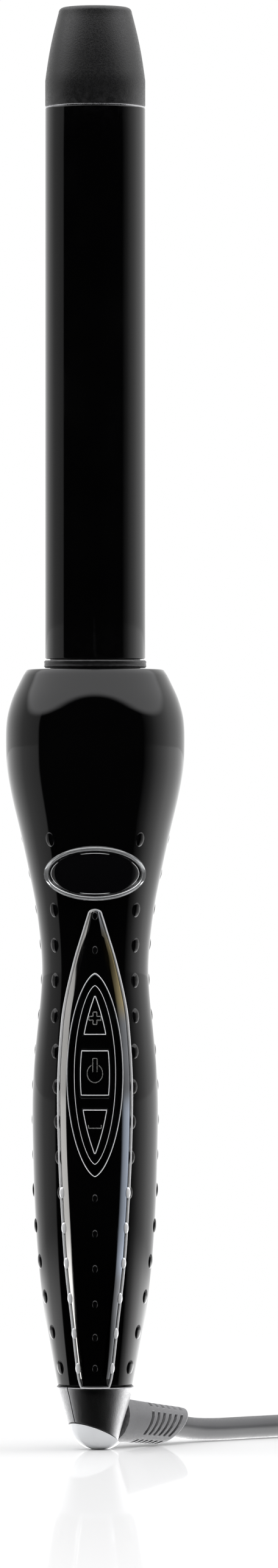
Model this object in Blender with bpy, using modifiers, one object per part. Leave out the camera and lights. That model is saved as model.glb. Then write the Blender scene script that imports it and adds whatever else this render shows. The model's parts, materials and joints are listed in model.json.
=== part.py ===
# Clipless curling wand on a swivel mains cord, built piece by piece.
# Units are metres and +Z is up.  The wand stands on its end plate at z = 0, its own axis is the
# Z axis, its buttons face -Y, and its cord lies on the ground towards +X and +Y.

import math

import bmesh
import bpy
from mathutils import Matrix, Vector

mm = 0.001

# ---------------------------------------------------------------- sizes shared by many pieces
GAP = 0.3 * mm                  # clearance between neighbouring pieces
SIDES = 36                      # sides of the large turned pieces
SMALL_SIDES = 20                # sides of the small turned pieces
FAR = 60.0 * mm                 # how far a cutter reaches past what it cuts

# Handle: its outline is a list of (share of the length from the lower end, radius)
HANDLE_LOW = 16.5 * mm          # height of the handle's lower end above the ground
HANDLE_LENGTH = 181.7 * mm
HANDLE_WALL = 2.0 * mm
HANDLE_OUTLINE = [
    (0.000, 9.9 * mm), (0.035, 11.1 * mm), (0.086, 12.6 * mm), (0.162, 14.3 * mm),
    (0.238, 15.3 * mm), (0.315, 15.8 * mm), (0.390, 16.0 * mm), (0.441, 15.65 * mm),
    (0.492, 14.8 * mm), (0.543, 13.85 * mm), (0.581, 13.55 * mm), (0.619, 13.95 * mm),
    (0.670, 15.15 * mm), (0.721, 17.0 * mm), (0.771, 19.0 * mm), (0.822, 21.2 * mm),
    (0.859, 22.35 * mm), (0.898, 22.7 * mm), (0.931, 22.4 * mm), (0.958, 21.1 * mm),
    (0.980, 19.3 * mm), (0.995, 17.9 * mm), (1.000, 17.2 * mm),
]
HANDLE_TOP = HANDLE_LOW + HANDLE_LENGTH

# Barrel, collar and cool tip
COLLAR_HEIGHT = 1.9 * mm
COLLAR_STEP = 0.25 * mm         # how far the collar stands out past the barrel
COLLAR_RIB = 3.2 * mm           # thickness of the rib that the shells hold
COLLAR_BORE_WALL = 2.4 * mm
SPIGOT_LENGTH = 12.0 * mm
BARREL_RADIUS = 12.7 * mm
BARREL_WALL = 1.0 * mm
BARREL_LENGTH = 140.0 * mm
TIP_LENGTH = 25.5 * mm
TIP_STRAIGHT = 6.6 * mm
TIP_END_RADIUS = 9.3 * mm
TIP_ROUND = 1.5 * mm
TIP_WALL = 2.2 * mm
COLLAR_LOW = HANDLE_TOP + GAP
BARREL_LOW = COLLAR_LOW + COLLAR_HEIGHT + GAP
BARREL_TOP = BARREL_LOW + BARREL_LENGTH
BARREL_INNER = BARREL_RADIUS - BARREL_WALL
SPIGOT_RADIUS = BARREL_INNER - GAP
SPIGOT_TOP = BARREL_LOW + SPIGOT_LENGTH
COLLAR_BORE = SPIGOT_RADIUS - COLLAR_BORE_WALL

# Joint between the collar and the shells
TOP_WALL = 2.3 * mm
COLLAR_SOCKET = SPIGOT_RADIUS + GAP
COLLAR_GROOVE_TOP = HANDLE_TOP - TOP_WALL
COLLAR_GROOVE_LOW = COLLAR_GROOVE_TOP - COLLAR_RIB - 2 * GAP
COLLAR_LEDGE_LOW = COLLAR_GROOVE_LOW - 2.0 * mm
COLLAR_RIB_RADIUS = SPIGOT_RADIUS + 2.4 * mm

# Joint between the swivel spindle and the shells
SWIVEL_TURN = math.radians(44.0)    # direction of the cord's exit, from +X towards +Y
BOTTOM_WALL = 2.4 * mm
NECK_RADIUS = 5.0 * mm
POST_RADIUS = 4.5 * mm
WASHER_THICKNESS = 0.8 * mm
FLANGE_THICKNESS = 1.8 * mm
LEDGE_THICKNESS = 1.7 * mm
GROOVE_LOW = HANDLE_LOW + BOTTOM_WALL
WASHER_LOW = GROOVE_LOW + GAP
FLANGE_LOW = WASHER_LOW + WASHER_THICKNESS + GAP
FLANGE_TOP = FLANGE_LOW + FLANGE_THICKNESS
GROOVE_TOP = FLANGE_TOP + GAP
LEDGE_TOP = GROOVE_TOP + LEDGE_THICKNESS
GROOVE_RADIUS = HANDLE_OUTLINE[0][1] - 1.5 * mm

# Display window
DISPLAY_Z = 146.4 * mm
BEZEL_HALF = (12.8 * mm, 6.85 * mm)     # outer half width and half height
BEZEL_BAND = 1.05 * mm
LENS_DEPTH = 1.2 * mm
LCD_HALF = (8.2 * mm, 4.2 * mm)
LCD_THICKNESS = 1.8 * mm
BOARD_THICKNESS = 1.6 * mm
DISPLAY_BOARD_HALF_HEIGHT = 5.6 * mm

# Control panel on the handle's front: (height above the ground, half width)
PANEL_LOW = 16.0 * mm
PANEL_TOP = 137.5 * mm
PANEL_RISE = 1.0 * mm
PANEL_SIDES = [
    (16.0 * mm, 3.5 * mm), (20.2 * mm, 4.45 * mm), (33.1 * mm, 5.85 * mm), (47.4 * mm, 7.4 * mm),
    (65.8 * mm, 8.55 * mm), (80.0 * mm, 9.1 * mm), (94.0 * mm, 9.2 * mm), (106.2 * mm, 8.5 * mm),
    (113.7 * mm, 7.6 * mm), (123.8 * mm, 5.4 * mm), (131.0 * mm, 3.35 * mm), (136.4 * mm, 1.75 * mm),
]
TRIM_WIDTH = 0.6 * mm

# Keypad: three buttons in a pointed oval
KEYPAD_Z = 95.6 * mm
KEYPAD_HALF = (7.05 * mm, 25.6 * mm)
PLATE_HALF = (5.05 * mm, 22.2 * mm)
BUTTON_FIELD = (3.8 * mm, 20.5 * mm)
BUTTONS = {                     # lower and upper ends, from the middle of the keypad
    "minus": (-20.1 * mm, -8.5 * mm),
    "power": (-5.4 * mm, 6.4 * mm),
    "plus": (9.9 * mm, 20.1 * mm),
}
POINT_TRIM = 0.4 * mm           # how much the keypad's points are blunted
BUTTON_PROUD = 0.5 * mm
BUTTON_TRAVEL = 0.5 * mm
BUTTON_LIP = 0.7 * mm
PLATE_RISE = 1.1 * mm
MEMBRANE_THICKNESS = 0.6 * mm
MEMBRANE_HALF_WIDTH = 4.4 * mm
SWITCH_SIZE = 4.5 * mm
SWITCH_HEIGHT = 1.5 * mm

# Swivel knuckle
KNUCKLE_TAPER = 0.29            # radius lost for each unit of height
KNUCKLE_WALL = 1.8 * mm
KNUCKLE_ROOF = 2.2 * mm
CUT_SLOPE = math.radians(25.0)  # tilt of the knuckle's lower opening
CUT_Z = 3.9 * mm                # height of that opening on the wand's axis
END_PLATE_RADIUS = 6.7 * mm
END_PLATE_BULGE = 4.0 * mm
KNUCKLE_TOP = HANDLE_LOW - GAP
KNUCKLE_RADIUS = HANDLE_OUTLINE[0][1] - 0.1 * mm
ROOF_LOW = KNUCKLE_TOP - KNUCKLE_ROOF

# Cord, strain relief and plug
CORD_RADIUS = 2.9 * mm
BOOT_ROOT = 5.7 * mm            # radius at the knuckle
BOOT_END = 5.2 * mm             # radius at the cord
BOOT_REACH = 27.4 * mm          # distance of the boot's end from the wand's axis
BOOT_START = 3.0 * mm
BOOT_Z = 7.6 * mm               # height of the boot's axis at the knuckle
BOOT_END_Z = 4.6 * mm
BOOT_LEAN = 0.6                 # lean of the boot's end face
BOOT_NECK = 3.4 * mm
BOOT_BORE_DEPTH = 4.2 * mm
COIL_CENTRE = (111.0 * mm, 46.5 * mm)
COIL_MEAN = 33.4 * mm           # mean radius of the turns
COIL_COLUMNS = 4
COIL_LAYERS = 3
COIL_OUTER = COIL_MEAN + COIL_COLUMNS * CORD_RADIUS + GAP
COIL_INNER = COIL_MEAN - COIL_COLUMNS * CORD_RADIUS - GAP
COIL_HEIGHT = 2 * CORD_RADIUS * COIL_LAYERS + GAP
TIE_THICKNESS = 0.9 * mm
TIE_WIDTH = 11.0 * mm
PLUG_HALF = (12.5 * mm, 7.5 * mm)       # half width and half thickness
PLUG_BODY_LENGTH = 27.0 * mm
PLUG_NECK_LENGTH = 19.0 * mm
PLUG_NECK_TIP = CORD_RADIUS + 0.9 * mm
PLUG_NECK_ROOT = CORD_RADIUS + 3.1 * mm
PLUG_NECK_SINK = 2.0 * mm       # how far the neck runs into the body
PLUG_SHOULDER = (3.0 * mm, 9.0 * mm)    # where the body's taper bends, from its rear
BLADE_HALF = {"plug_blade_narrow": 3.15 * mm, "plug_blade_wide": 3.95 * mm}
BLADE_LENGTH = 17.5 * mm
BLADE_THICKNESS = 1.5 * mm
BLADE_SPACING = 12.7 * mm
LEAD_RADIUS = 0.9 * mm

# Stands a plate drawn as (y, z) upright, so that its thickness runs along X
ON_YZ = Matrix(((0, 0, 1, 0), (1, 0, 0, 0), (0, 1, 0, 0), (0, 0, 0, 1)))

# Route of the cord from the strain relief to the coil, and from the coil to the plug
CORD_ROUTE = [
    (16.9 * mm, 16.33 * mm, 5.18 * mm), (19.78 * mm, 19.1 * mm, 4.58 * mm),
    (22.3 * mm, 21.53 * mm, 4.02 * mm), (25.8 * mm, 24.7 * mm, 3.35 * mm),
    (31.0 * mm, 29.0 * mm, 2.98 * mm), (38.5 * mm, 35.0 * mm, 2.95 * mm),
    (47.3 * mm, 41.4 * mm, 2.95 * mm), (54.2 * mm, 47.6 * mm, 2.95 * mm),
    (59.6 * mm, 53.2 * mm, 2.95 * mm), (64.3 * mm, 59.1 * mm, 2.95 * mm),
]
TAIL_ROUTE = [
    (138.6 * mm, 76.0 * mm, 20.95 * mm), (141.4 * mm, 70.5 * mm, 22.2 * mm),
    (143.4 * mm, 65.5 * mm, 24.3 * mm), (144.0 * mm, 61.5 * mm, 25.4 * mm),
    (144.0 * mm, 57.5 * mm, 25.5 * mm),
]
PLUG_Z = COIL_HEIGHT + GAP + PLUG_HALF[1]


# ---------------------------------------------------------------- scene and materials
for old in list(bpy.data.objects):
    bpy.data.objects.remove(old, do_unlink=True)

parts = bpy.data.collections.new("curling_wand")
cutters = bpy.data.collections.new("cutters")
bpy.context.scene.collection.children.link(parts)
bpy.context.scene.collection.children.link(cutters)


def material(name, colour, roughness, metallic=0.0):
    made = bpy.data.materials.new(name)
    made.use_nodes = True
    shader = made.node_tree.nodes["Principled BSDF"]
    shader.inputs["Base Color"].default_value = (*colour, 1.0)
    shader.inputs["Roughness"].default_value = roughness
    shader.inputs["Metallic"].default_value = metallic
    return made


gloss_black = material("gloss_black", (0.008, 0.008, 0.009), 0.12)
barrel_coat = material("barrel_coat", (0.012, 0.012, 0.013), 0.18)
matte_charcoal = material("matte_charcoal", (0.035, 0.035, 0.038), 0.55)
chrome = material("chrome", (0.85, 0.86, 0.88), 0.08, 1.0)
smoked_lens = material("smoked_lens", (0.004, 0.004, 0.005), 0.05)
grey_rubber = material("grey_rubber", (0.16, 0.16, 0.17), 0.6)
cord_grey = material("cord_grey", (0.14, 0.14, 0.145), 0.45)
aluminium = material("aluminium", (0.7, 0.71, 0.72), 0.35, 1.0)
steel = material("steel", (0.55, 0.55, 0.56), 0.3, 1.0)
brass = material("brass", (0.8, 0.6, 0.25), 0.3, 1.0)
ceramic = material("ceramic", (0.8, 0.78, 0.72), 0.6)
board_green = material("board_green", (0.02, 0.16, 0.07), 0.45)
part_black = material("part_black", (0.03, 0.03, 0.03), 0.5)
film_yellow = material("film_yellow", (0.75, 0.55, 0.08), 0.5)
silicone = material("silicone", (0.5, 0.5, 0.5), 0.7)
lead_white = material("lead_white", (0.75, 0.75, 0.72), 0.55)
end_white = material("end_white", (0.86, 0.87, 0.88), 0.12, 0.6)


# ---------------------------------------------------------------- tools for making pieces
def link(name, mesh, finish=None):
    """A new object in the parts collection, or in the cutters when it has no finish."""
    obj = bpy.data.objects.new(name, mesh)
    if finish is None:
        cutters.objects.link(obj)
        obj.hide_render = True
        obj.display_type = "WIRE"
    else:
        parts.objects.link(obj)
        mesh.materials.append(finish)
    return obj


def mesh_from(name, bm, matrix=None):
    mesh = bpy.data.meshes.new(name)
    if matrix is not None:
        bmesh.ops.transform(bm, matrix=matrix, verts=bm.verts)
    bmesh.ops.recalc_face_normals(bm, faces=bm.faces)
    bm.to_mesh(mesh)
    bm.free()
    return mesh


def boolean(obj, other, operation):
    mod = obj.modifiers.new(operation.lower(), "BOOLEAN")
    mod.operation = operation
    mod.object = other
    return obj


def turned(name, profile, finish=None, sides=SMALL_SIDES, closed=False, matrix=None):
    """Turn a profile of (radius, height) points, given top to bottom on the outer side."""
    bm = bmesh.new()
    verts = [bm.verts.new((r, 0.0, z)) for r, z in profile]
    for a, b in zip(verts, verts[1:]):
        bm.edges.new((a, b))
    if closed:
        bm.edges.new((verts[-1], verts[0]))
    mesh = bpy.data.meshes.new(name)
    bm.to_mesh(mesh)
    bm.free()
    obj = link(name, mesh, finish)
    screw = obj.modifiers.new("turn", "SCREW")
    screw.axis = "Z"
    screw.angle = math.tau
    screw.steps = sides
    screw.render_steps = sides
    screw.use_merge_vertices = True
    screw.merge_threshold = 0.00001
    if matrix is not None:
        obj.matrix_world = matrix
    return obj


def ring(name, inner, outer, low, high, finish=None, sides=SMALL_SIDES, matrix=None):
    profile = [(outer, high), (outer, low), (inner, low), (inner, high)]
    return turned(name, profile, finish, sides, closed=True, matrix=matrix)


def rod(name, radius, low, high, finish=None, sides=SMALL_SIDES, matrix=None):
    profile = [(0.0, high), (radius, high), (radius, low), (0.0, low)]
    return turned(name, profile, finish, sides, matrix=matrix)


def along_y(x, z):
    """Matrix that lays a turned piece's own +Z along +Y, at the given x and z."""
    return Matrix.Translation((x, 0.0, z)) @ Matrix.Rotation(math.radians(-90.0), 4, "X")


def block(name, low, high, finish=None, bevel=0.0):
    """A box between two corners."""
    low = Vector(low)
    high = Vector(high)
    bm = bmesh.new()
    bmesh.ops.create_cube(bm, size=1.0)
    bmesh.ops.scale(bm, vec=high - low, verts=bm.verts)
    bmesh.ops.translate(bm, vec=(low + high) / 2, verts=bm.verts)
    obj = link(name, mesh_from(name, bm), finish)
    if bevel:
        mod = obj.modifiers.new("edges", "BEVEL")
        mod.width = bevel
        mod.segments = 1
    return obj


def solid_from_curve(name, curve, matrix, finish=None):
    """Turn a curve into a closed mesh object and remove the curve."""
    source = bpy.data.objects.new(name + "_curve", curve)
    bpy.context.scene.collection.objects.link(source)
    source.matrix_world = matrix
    graph = bpy.context.evaluated_depsgraph_get()
    mesh = bpy.data.meshes.new_from_object(source.evaluated_get(graph))
    bm = bmesh.new()
    bm.from_mesh(mesh)
    bmesh.ops.remove_doubles(bm, verts=bm.verts, dist=0.000001)
    bmesh.ops.recalc_face_normals(bm, faces=bm.faces)
    bm.to_mesh(mesh)
    bm.free()
    mesh.materials.clear()
    mesh.name = name
    obj = link(name, mesh, finish)
    obj.matrix_world = source.matrix_world
    bpy.data.objects.remove(source, do_unlink=True)
    bpy.data.curves.remove(curve)
    return obj


def plate(name, outlines, low, high, facing, finish=None):
    """Extrude flat outlines: facing "Y" takes (x, z) points, facing "Z" takes (x, y) points."""
    curve = bpy.data.curves.new(name, "CURVE")
    curve.dimensions = "2D"
    curve.fill_mode = "BOTH"
    curve.extrude = (high - low) / 2
    for outline in outlines:
        spline = curve.splines.new("POLY")
        spline.points.add(len(outline) - 1)
        spline.use_cyclic_u = True
        for point, (u, v) in zip(spline.points, outline):
            point.co = (u, v, 0.0, 1.0)
    middle = (low + high) / 2
    if facing == "Y":
        matrix = Matrix.Translation((0, middle, 0)) @ Matrix.Rotation(math.radians(90.0), 4, "X")
    else:
        matrix = Matrix.Translation((0, 0, middle))
    return solid_from_curve(name, curve, matrix, finish)


def smooth_path(points, spacing):
    """Points along a Catmull-Rom curve through the given points, about one spacing apart."""
    knots = [Vector(p) for p in points]
    knots = [2 * knots[0] - knots[1]] + knots + [2 * knots[-1] - knots[-2]]
    path = []
    for a, b, c, d in zip(knots, knots[1:], knots[2:], knots[3:]):
        count = max(1, round((c - b).length / spacing))
        for step in range(count):
            t = step / count
            path.append(0.5 * (2 * b + (c - a) * t + (2 * a - 5 * b + 4 * c - d) * t ** 2
                               + (3 * b - a - 3 * c + d) * t ** 3))
    path.append(knots[-2])
    return path


def tube(name, points, radius, finish, spacing, resolution=2):
    curve = bpy.data.curves.new(name, "CURVE")
    curve.dimensions = "3D"
    curve.bevel_depth = radius
    curve.bevel_resolution = resolution
    curve.use_fill_caps = True
    path = smooth_path(points, spacing)
    spline = curve.splines.new("POLY")
    spline.points.add(len(path) - 1)
    for point, place in zip(spline.points, path):
        point.co = (*place, 1.0)
    return solid_from_curve(name, curve, Matrix.Identity(4), finish)


def set_origin(obj, place):
    """Move an object's origin to a point of the world and leave its shape where it is."""
    obj.data.transform(Matrix.Translation(-Vector(place)) @ obj.matrix_world)
    obj.matrix_world = Matrix.Translation(place)


# ---------------------------------------------------------------- the handle's surface
def handle_radius(z):
    """Radius of the handle's outside at a height, on a smooth curve through its outline."""
    share = min(max((z - HANDLE_LOW) / HANDLE_LENGTH, 0.0), 1.0)
    last = len(HANDLE_OUTLINE) - 1
    i = max(k for k in range(last) if HANDLE_OUTLINE[k][0] <= share)

    def slope(k):
        a = HANDLE_OUTLINE[max(k - 1, 0)]
        b = HANDLE_OUTLINE[min(k + 1, last)]
        return (b[1] - a[1]) / (b[0] - a[0])

    s0, r0 = HANDLE_OUTLINE[i]
    s1, r1 = HANDLE_OUTLINE[i + 1]
    width = s1 - s0
    t = (share - s0) / width
    return ((2 * t ** 3 - 3 * t ** 2 + 1) * r0 + (t ** 3 - 2 * t ** 2 + t) * width * slope(i)
            + (3 * t ** 2 - 2 * t ** 3) * r1 + (t ** 3 - t ** 2) * width * slope(i + 1))


def heights(low, high):
    """The two heights and those of the outline's stations between them, upwards."""
    stations = [HANDLE_LOW + share * HANDLE_LENGTH for share, _ in HANDLE_OUTLINE]
    return [low] + [z for z in stations if low + GAP < z < high - GAP] + [high]


def smallest_radius(low, high):
    return min(handle_radius(z) for z in heights(low, high))


def cavity_half_width(depth, low, high):
    """Half width free inside the shells at a depth in front of the axis."""
    inner = smallest_radius(low, high) - HANDLE_WALL - GAP
    return math.sqrt(inner ** 2 - depth ** 2)


def sleeve(name, below, above, low, high):
    """Cutter that follows the handle's surface between two offsets from it."""
    outer = [(handle_radius(z) + above, z) for z in reversed(heights(low, high))]
    inner = [(handle_radius(z) + below, z) for z in heights(low, high)]
    return turned(name, outer + inner, sides=SIDES, closed=True)


def skin(name, outlines, below, above, finish):
    """A piece of the handle's front with the given outlines, between two offsets."""
    low = min(z for outline in outlines for _, z in outline) - 2 * GAP
    high = max(z for outline in outlines for _, z in outline) + 2 * GAP
    piece = plate(name, outlines, -FAR, -GAP, "Y", finish)
    return boolean(piece, sleeve(name + "_sleeve", below, above, low, high), "INTERSECT")


# ---------------------------------------------------------------- outlines on the handle's front
def oval(half_width, half_height, middle, count=40):
    turns = [math.tau * k / count for k in range(count)]
    return [(half_width * math.cos(a), middle + half_height * math.sin(a)) for a in turns]


def lens_edge(half, z):
    """Half width of a pointed oval at a height from its middle."""
    radius = (half[0] ** 2 + half[1] ** 2) / (2 * half[0])
    return math.sqrt(radius ** 2 - z ** 2) - radius + half[0]


def pointed_oval(half, low, high, grow=0.0, count=10):
    """The stretch of the keypad's pointed oval between two heights from its middle."""
    steps = [low + (high - low) * k / count for k in range(count + 1)]
    right = [(lens_edge(half, z) + grow, z) for z in steps]
    right[0] = (right[0][0], low - grow)
    right[-1] = (right[-1][0], high + grow)
    outline = right + [(-x, z) for x, z in reversed(right)]
    return [(x, KEYPAD_Z + z) for x, z in outline]


def whole_oval(half, grow=0.0):
    """The whole pointed oval, with its two points blunted."""
    end = half[1] + 2 * grow - POINT_TRIM
    return pointed_oval((half[0] + grow, half[1] + 2 * grow), -end, end)


def panel_outline(inset):
    """The control panel's outline, drawn in by an inset, with a round top."""
    right = [(x - inset, z) for z, x in PANEL_SIDES]
    right[0] = (right[0][0], PANEL_LOW + inset)
    top = PANEL_TOP - inset
    corner_x, corner_z = right[-1]
    arc = []
    for k in range(1, 6):
        a = math.pi * k / 6
        arc.append((corner_x * math.cos(a), corner_z + (top - corner_z) * math.sin(a)))
    left = [(-x, z) for x, z in reversed(right)]
    return right + arc + left


# ---------------------------------------------------------------- barrel, tip and collar
def make_barrel():
    ring("barrel_tube", BARREL_INNER, BARREL_RADIUS, BARREL_LOW, BARREL_TOP, barrel_coat, SIDES)

    # The cool tip is a cap whose skirt sits in the barrel's open end
    low = BARREL_TOP + GAP
    top = BARREL_TOP + TIP_LENGTH
    shoulder = low + TIP_STRAIGHT
    outer = [(0.0, top), (TIP_END_RADIUS - TIP_ROUND, top)]
    outer.append((TIP_END_RADIUS - 0.3 * TIP_ROUND, top - 0.3 * TIP_ROUND))
    outer.append((TIP_END_RADIUS, top - TIP_ROUND))
    for k in range(1, 4):
        t = k / 4
        bow = 0.35 * mm * math.sin(math.pi * t)
        radius = TIP_END_RADIUS + (BARREL_RADIUS - TIP_END_RADIUS) * t + bow
        outer.append((radius, top - TIP_ROUND - (top - TIP_ROUND - shoulder) * t))
    outer += [(BARREL_RADIUS, shoulder), (BARREL_RADIUS, low)]
    skirt_low = low - 5.0 * mm
    inner = [(SPIGOT_RADIUS, low), (SPIGOT_RADIUS, skirt_low),
             (SPIGOT_RADIUS - TIP_WALL, skirt_low), (SPIGOT_RADIUS - TIP_WALL, low),
             (TIP_END_RADIUS - TIP_WALL, top - 6.0 * mm),
             (4.2 * mm, top - 6.0 * mm), (4.2 * mm, skirt_low + 4.0 * mm),
             (1.8 * mm, skirt_low + 4.0 * mm), (1.8 * mm, top - 7.5 * mm), (0.0, top - 7.5 * mm)]
    turned("cool_tip", outer + inner, matte_charcoal, SIDES)

    # Inside the skirt: an insulating washer, the steel end disc and the screw through both
    seat = skirt_low + 4.0 * mm - GAP
    washer_radius = SPIGOT_RADIUS - TIP_WALL - GAP
    ring("tip_insulator", 2.0 * mm, washer_radius, seat - 1.0 * mm, seat, ceramic)
    disc_top = seat - 1.0 * mm - GAP
    disc_low = disc_top - 1.2 * mm
    ring("tip_end_disc", 2.0 * mm, washer_radius, disc_low, disc_top, steel)
    head_top = disc_low - GAP
    turned("tip_screw", [(0.0, top - 8.5 * mm), (1.5 * mm, top - 8.5 * mm), (1.5 * mm, head_top),
                         (2.9 * mm, head_top), (2.9 * mm, head_top - 1.4 * mm),
                         (0.0, head_top - 1.4 * mm)], steel)

    # The collar: a spigot up into the barrel, a flange under it and a ribbed tail in the handle
    flange = BARREL_RADIUS + COLLAR_STEP
    flange_top = COLLAR_LOW + COLLAR_HEIGHT
    rib_top = COLLAR_GROOVE_TOP - GAP
    rib_low = rib_top - COLLAR_RIB
    tail_low = COLLAR_LEDGE_LOW - 4.0 * mm
    turned("barrel_collar", [
        (SPIGOT_RADIUS, SPIGOT_TOP), (SPIGOT_RADIUS, flange_top), (flange, flange_top),
        (flange, COLLAR_LOW), (SPIGOT_RADIUS, COLLAR_LOW), (SPIGOT_RADIUS, rib_top),
        (COLLAR_RIB_RADIUS, rib_top), (COLLAR_RIB_RADIUS, rib_low), (SPIGOT_RADIUS, rib_low),
        (SPIGOT_RADIUS, tail_low), (COLLAR_BORE, tail_low), (COLLAR_BORE, SPIGOT_TOP),
    ], matte_charcoal, SIDES, closed=True)


def make_heater():
    """Two half-round blocks press a flat ceramic heater between them inside the barrel."""
    low = SPIGOT_TOP + 12.0 * mm
    high = BARREL_TOP - 14.0 * mm
    radius = BARREL_INNER - GAP
    slot = 1.5 * mm
    for name, side in (("heater_block_front", -1), ("heater_block_rear", 1)):
        start = math.asin(slot / radius)
        arc = [start + (math.pi - 2 * start) * k / 14 for k in range(15)]
        outline = [(radius * math.cos(a), side * radius * math.sin(a)) for a in arc]
        plate(name, [outline], low, high, "Z", aluminium)
    heater_low = low - 3.0 * mm
    block("ceramic_heater", (-5.0 * mm, -1.2 * mm, heater_low), (5.0 * mm, 0.0, high - 6.0 * mm),
          ceramic)
    bow = []
    for k in range(9):
        t = k / 8
        bow.append((low + 6.0 * mm + (high - low - 12.0 * mm) * t,
                    0.35 * mm + 0.45 * mm * math.sin(math.pi * t)))
    leaf = [(y, z) for z, y in bow] + [(y + 0.35 * mm, z) for z, y in reversed(bow)]
    spring = plate("heater_spring", [leaf], -3.5 * mm, 3.5 * mm, "Z", steel)
    spring.matrix_world = ON_YZ @ spring.matrix_world

    sensor_z = SPIGOT_TOP + 1.0 * mm
    turned("thermistor", [(0.0, sensor_z + 9.5 * mm), (0.8 * mm, sensor_z + 9.2 * mm),
                          (1.3 * mm, sensor_z + 8.0 * mm), (1.3 * mm, sensor_z),
                          (0.0, sensor_z)], ceramic, matrix=Matrix.Translation((7.6 * mm, 0, 0)))
    fuse_low = BARREL_LOW - 1.0 * mm
    rod("thermal_fuse", 2.0 * mm, fuse_low, fuse_low + 11.0 * mm, steel,
        matrix=Matrix.Translation((-5.2 * mm, 0, 0)))

    # Leads run down through the collar's bore to the main board
    board_top = main_board_top() + 2.0 * mm
    lead_z = COLLAR_LEDGE_LOW - 12.0 * mm
    lead("lead_fuse_to_heater", [(-5.2 * mm, 0, fuse_low + 11.0 * mm + GAP),
                                 (-5.0 * mm, 0.2 * mm, fuse_low + 15.0 * mm),
                                 (-3.2 * mm, -0.3 * mm, heater_low - 4.0 * mm),
                                 (-3.0 * mm, -0.6 * mm, heater_low - GAP)])
    lead("lead_live_to_fuse", [(-5.2 * mm, 0, fuse_low - GAP), (-5.2 * mm, 0, fuse_low - 14.0 * mm),
                               (-6.8 * mm, 1.0 * mm, lead_z), (-7.2 * mm, -2.0 * mm, DISPLAY_Z),
                               (-5.0 * mm, -4.2 * mm, board_top + 2.0 * mm),
                               (-4.6 * mm, -4.6 * mm, board_top)])
    lead("lead_neutral", [(3.0 * mm, -0.6 * mm, heater_low - GAP),
                          (3.2 * mm, 0, heater_low - 6.0 * mm), (4.4 * mm, 0.4 * mm, fuse_low),
                          (6.6 * mm, 1.0 * mm, lead_z), (7.2 * mm, -2.0 * mm, DISPLAY_Z),
                          (5.0 * mm, -4.2 * mm, board_top + 2.0 * mm),
                          (4.6 * mm, -4.6 * mm, board_top)])
    lead("lead_thermistor", [(7.6 * mm, 0, sensor_z - GAP), (7.5 * mm, 0.6 * mm, fuse_low + 4.0 * mm),
                             (6.6 * mm, 3.0 * mm, fuse_low - 8.0 * mm),
                             (6.0 * mm, 5.0 * mm, lead_z), (6.0 * mm, 3.4 * mm, DISPLAY_Z),
                             (2.4 * mm, -2.6 * mm, board_top + 4.0 * mm),
                             (2.0 * mm, -4.6 * mm, board_top)])


def lead(name, points):
    return tube(name, points, LEAD_RADIUS, lead_white, 6.0 * mm, resolution=1)


# ---------------------------------------------------------------- handle shells
def screw_heights():
    """Heights of the two shell screws: above the display, and below the main board."""
    upper = (DISPLAY_Z + BEZEL_HALF[1] + COLLAR_LEDGE_LOW) / 2
    return {"upper": upper, "lower": main_board_low() - 8.0 * mm}


def handle_body(name, finish):
    """The handle as one hollow turned body, with its grooves for the collar and the spindle."""
    outer = [(handle_radius(z), z) for z in reversed(heights(HANDLE_LOW, HANDLE_TOP))]
    cavity = heights(LEDGE_TOP, COLLAR_LEDGE_LOW)
    inner = [(NECK_RADIUS + GAP, HANDLE_LOW), (NECK_RADIUS + GAP, GROOVE_LOW),
             (GROOVE_RADIUS, GROOVE_LOW), (GROOVE_RADIUS, GROOVE_TOP),
             (POST_RADIUS + GAP, GROOVE_TOP), (POST_RADIUS + GAP, LEDGE_TOP)]
    inner += [(handle_radius(z) - HANDLE_WALL, z) for z in cavity[:1] + cavity[1:-1:2] + cavity[-1:]]
    groove = COLLAR_RIB_RADIUS + GAP
    inner += [(COLLAR_SOCKET, COLLAR_LEDGE_LOW), (COLLAR_SOCKET, COLLAR_GROOVE_LOW),
              (groove, COLLAR_GROOVE_LOW), (groove, COLLAR_GROOVE_TOP),
              (COLLAR_SOCKET, COLLAR_GROOVE_TOP), (COLLAR_SOCKET, HANDLE_TOP)]
    return turned(name, outer + inner, finish, SIDES, closed=True)


def make_shells():
    post = 3.4 * mm
    shank = 1.4 * mm
    head = 2.6 * mm
    seat = 6.0 * mm
    split = GAP / 2
    front = handle_body("front_shell", gloss_black)
    rear = handle_body("rear_shell", gloss_black)

    # Posts run across the handle, bored for a screw that is driven in from the rear
    for place, z in screw_heights().items():
        middle = handle_radius(z) - HANDLE_WALL / 2
        turn = along_y(0.0, z)
        pillar = rod("post_" + place, post, -middle, middle, matrix=turn)
        pilot = shank + GAP
        bore = turned("bore_" + place, [(0.0, FAR), (head + GAP, FAR), (head + GAP, seat),
                                        (pilot, seat), (pilot, -middle + 2.5 * mm),
                                        (0.0, -middle + 2.5 * mm)], matrix=turn)
        for shell in (front, rear):
            boolean(shell, pillar, "UNION")
            boolean(shell, bore, "DIFFERENCE")
        head_low = seat + GAP
        turned("shell_screw_" + place, [(0.0, head_low + 1.8 * mm), (head, head_low + 1.8 * mm),
                                        (head, head_low), (shank, head_low),
                                        (shank, -6.5 * mm), (0.0, -7.5 * mm)], steel, matrix=turn)
    above = HANDLE_TOP + FAR
    boolean(front, block("rear_half", (-FAR, -split, -FAR), (FAR, FAR, above)), "DIFFERENCE")
    boolean(rear, block("front_half", (-FAR, -FAR, -FAR), (FAR, split, above)), "DIFFERENCE")

    window = oval(BEZEL_HALF[0] - BEZEL_BAND, BEZEL_HALF[1] - BEZEL_BAND, DISPLAY_Z)
    boolean(front, plate("display_opening", [window], -FAR, -2.0 * mm, "Y"), "DIFFERENCE")
    keys = whole_oval(PLATE_HALF, 0.6 * mm)
    boolean(front, plate("keypad_opening", [keys], -FAR, -2.0 * mm, "Y"), "DIFFERENCE")


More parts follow.
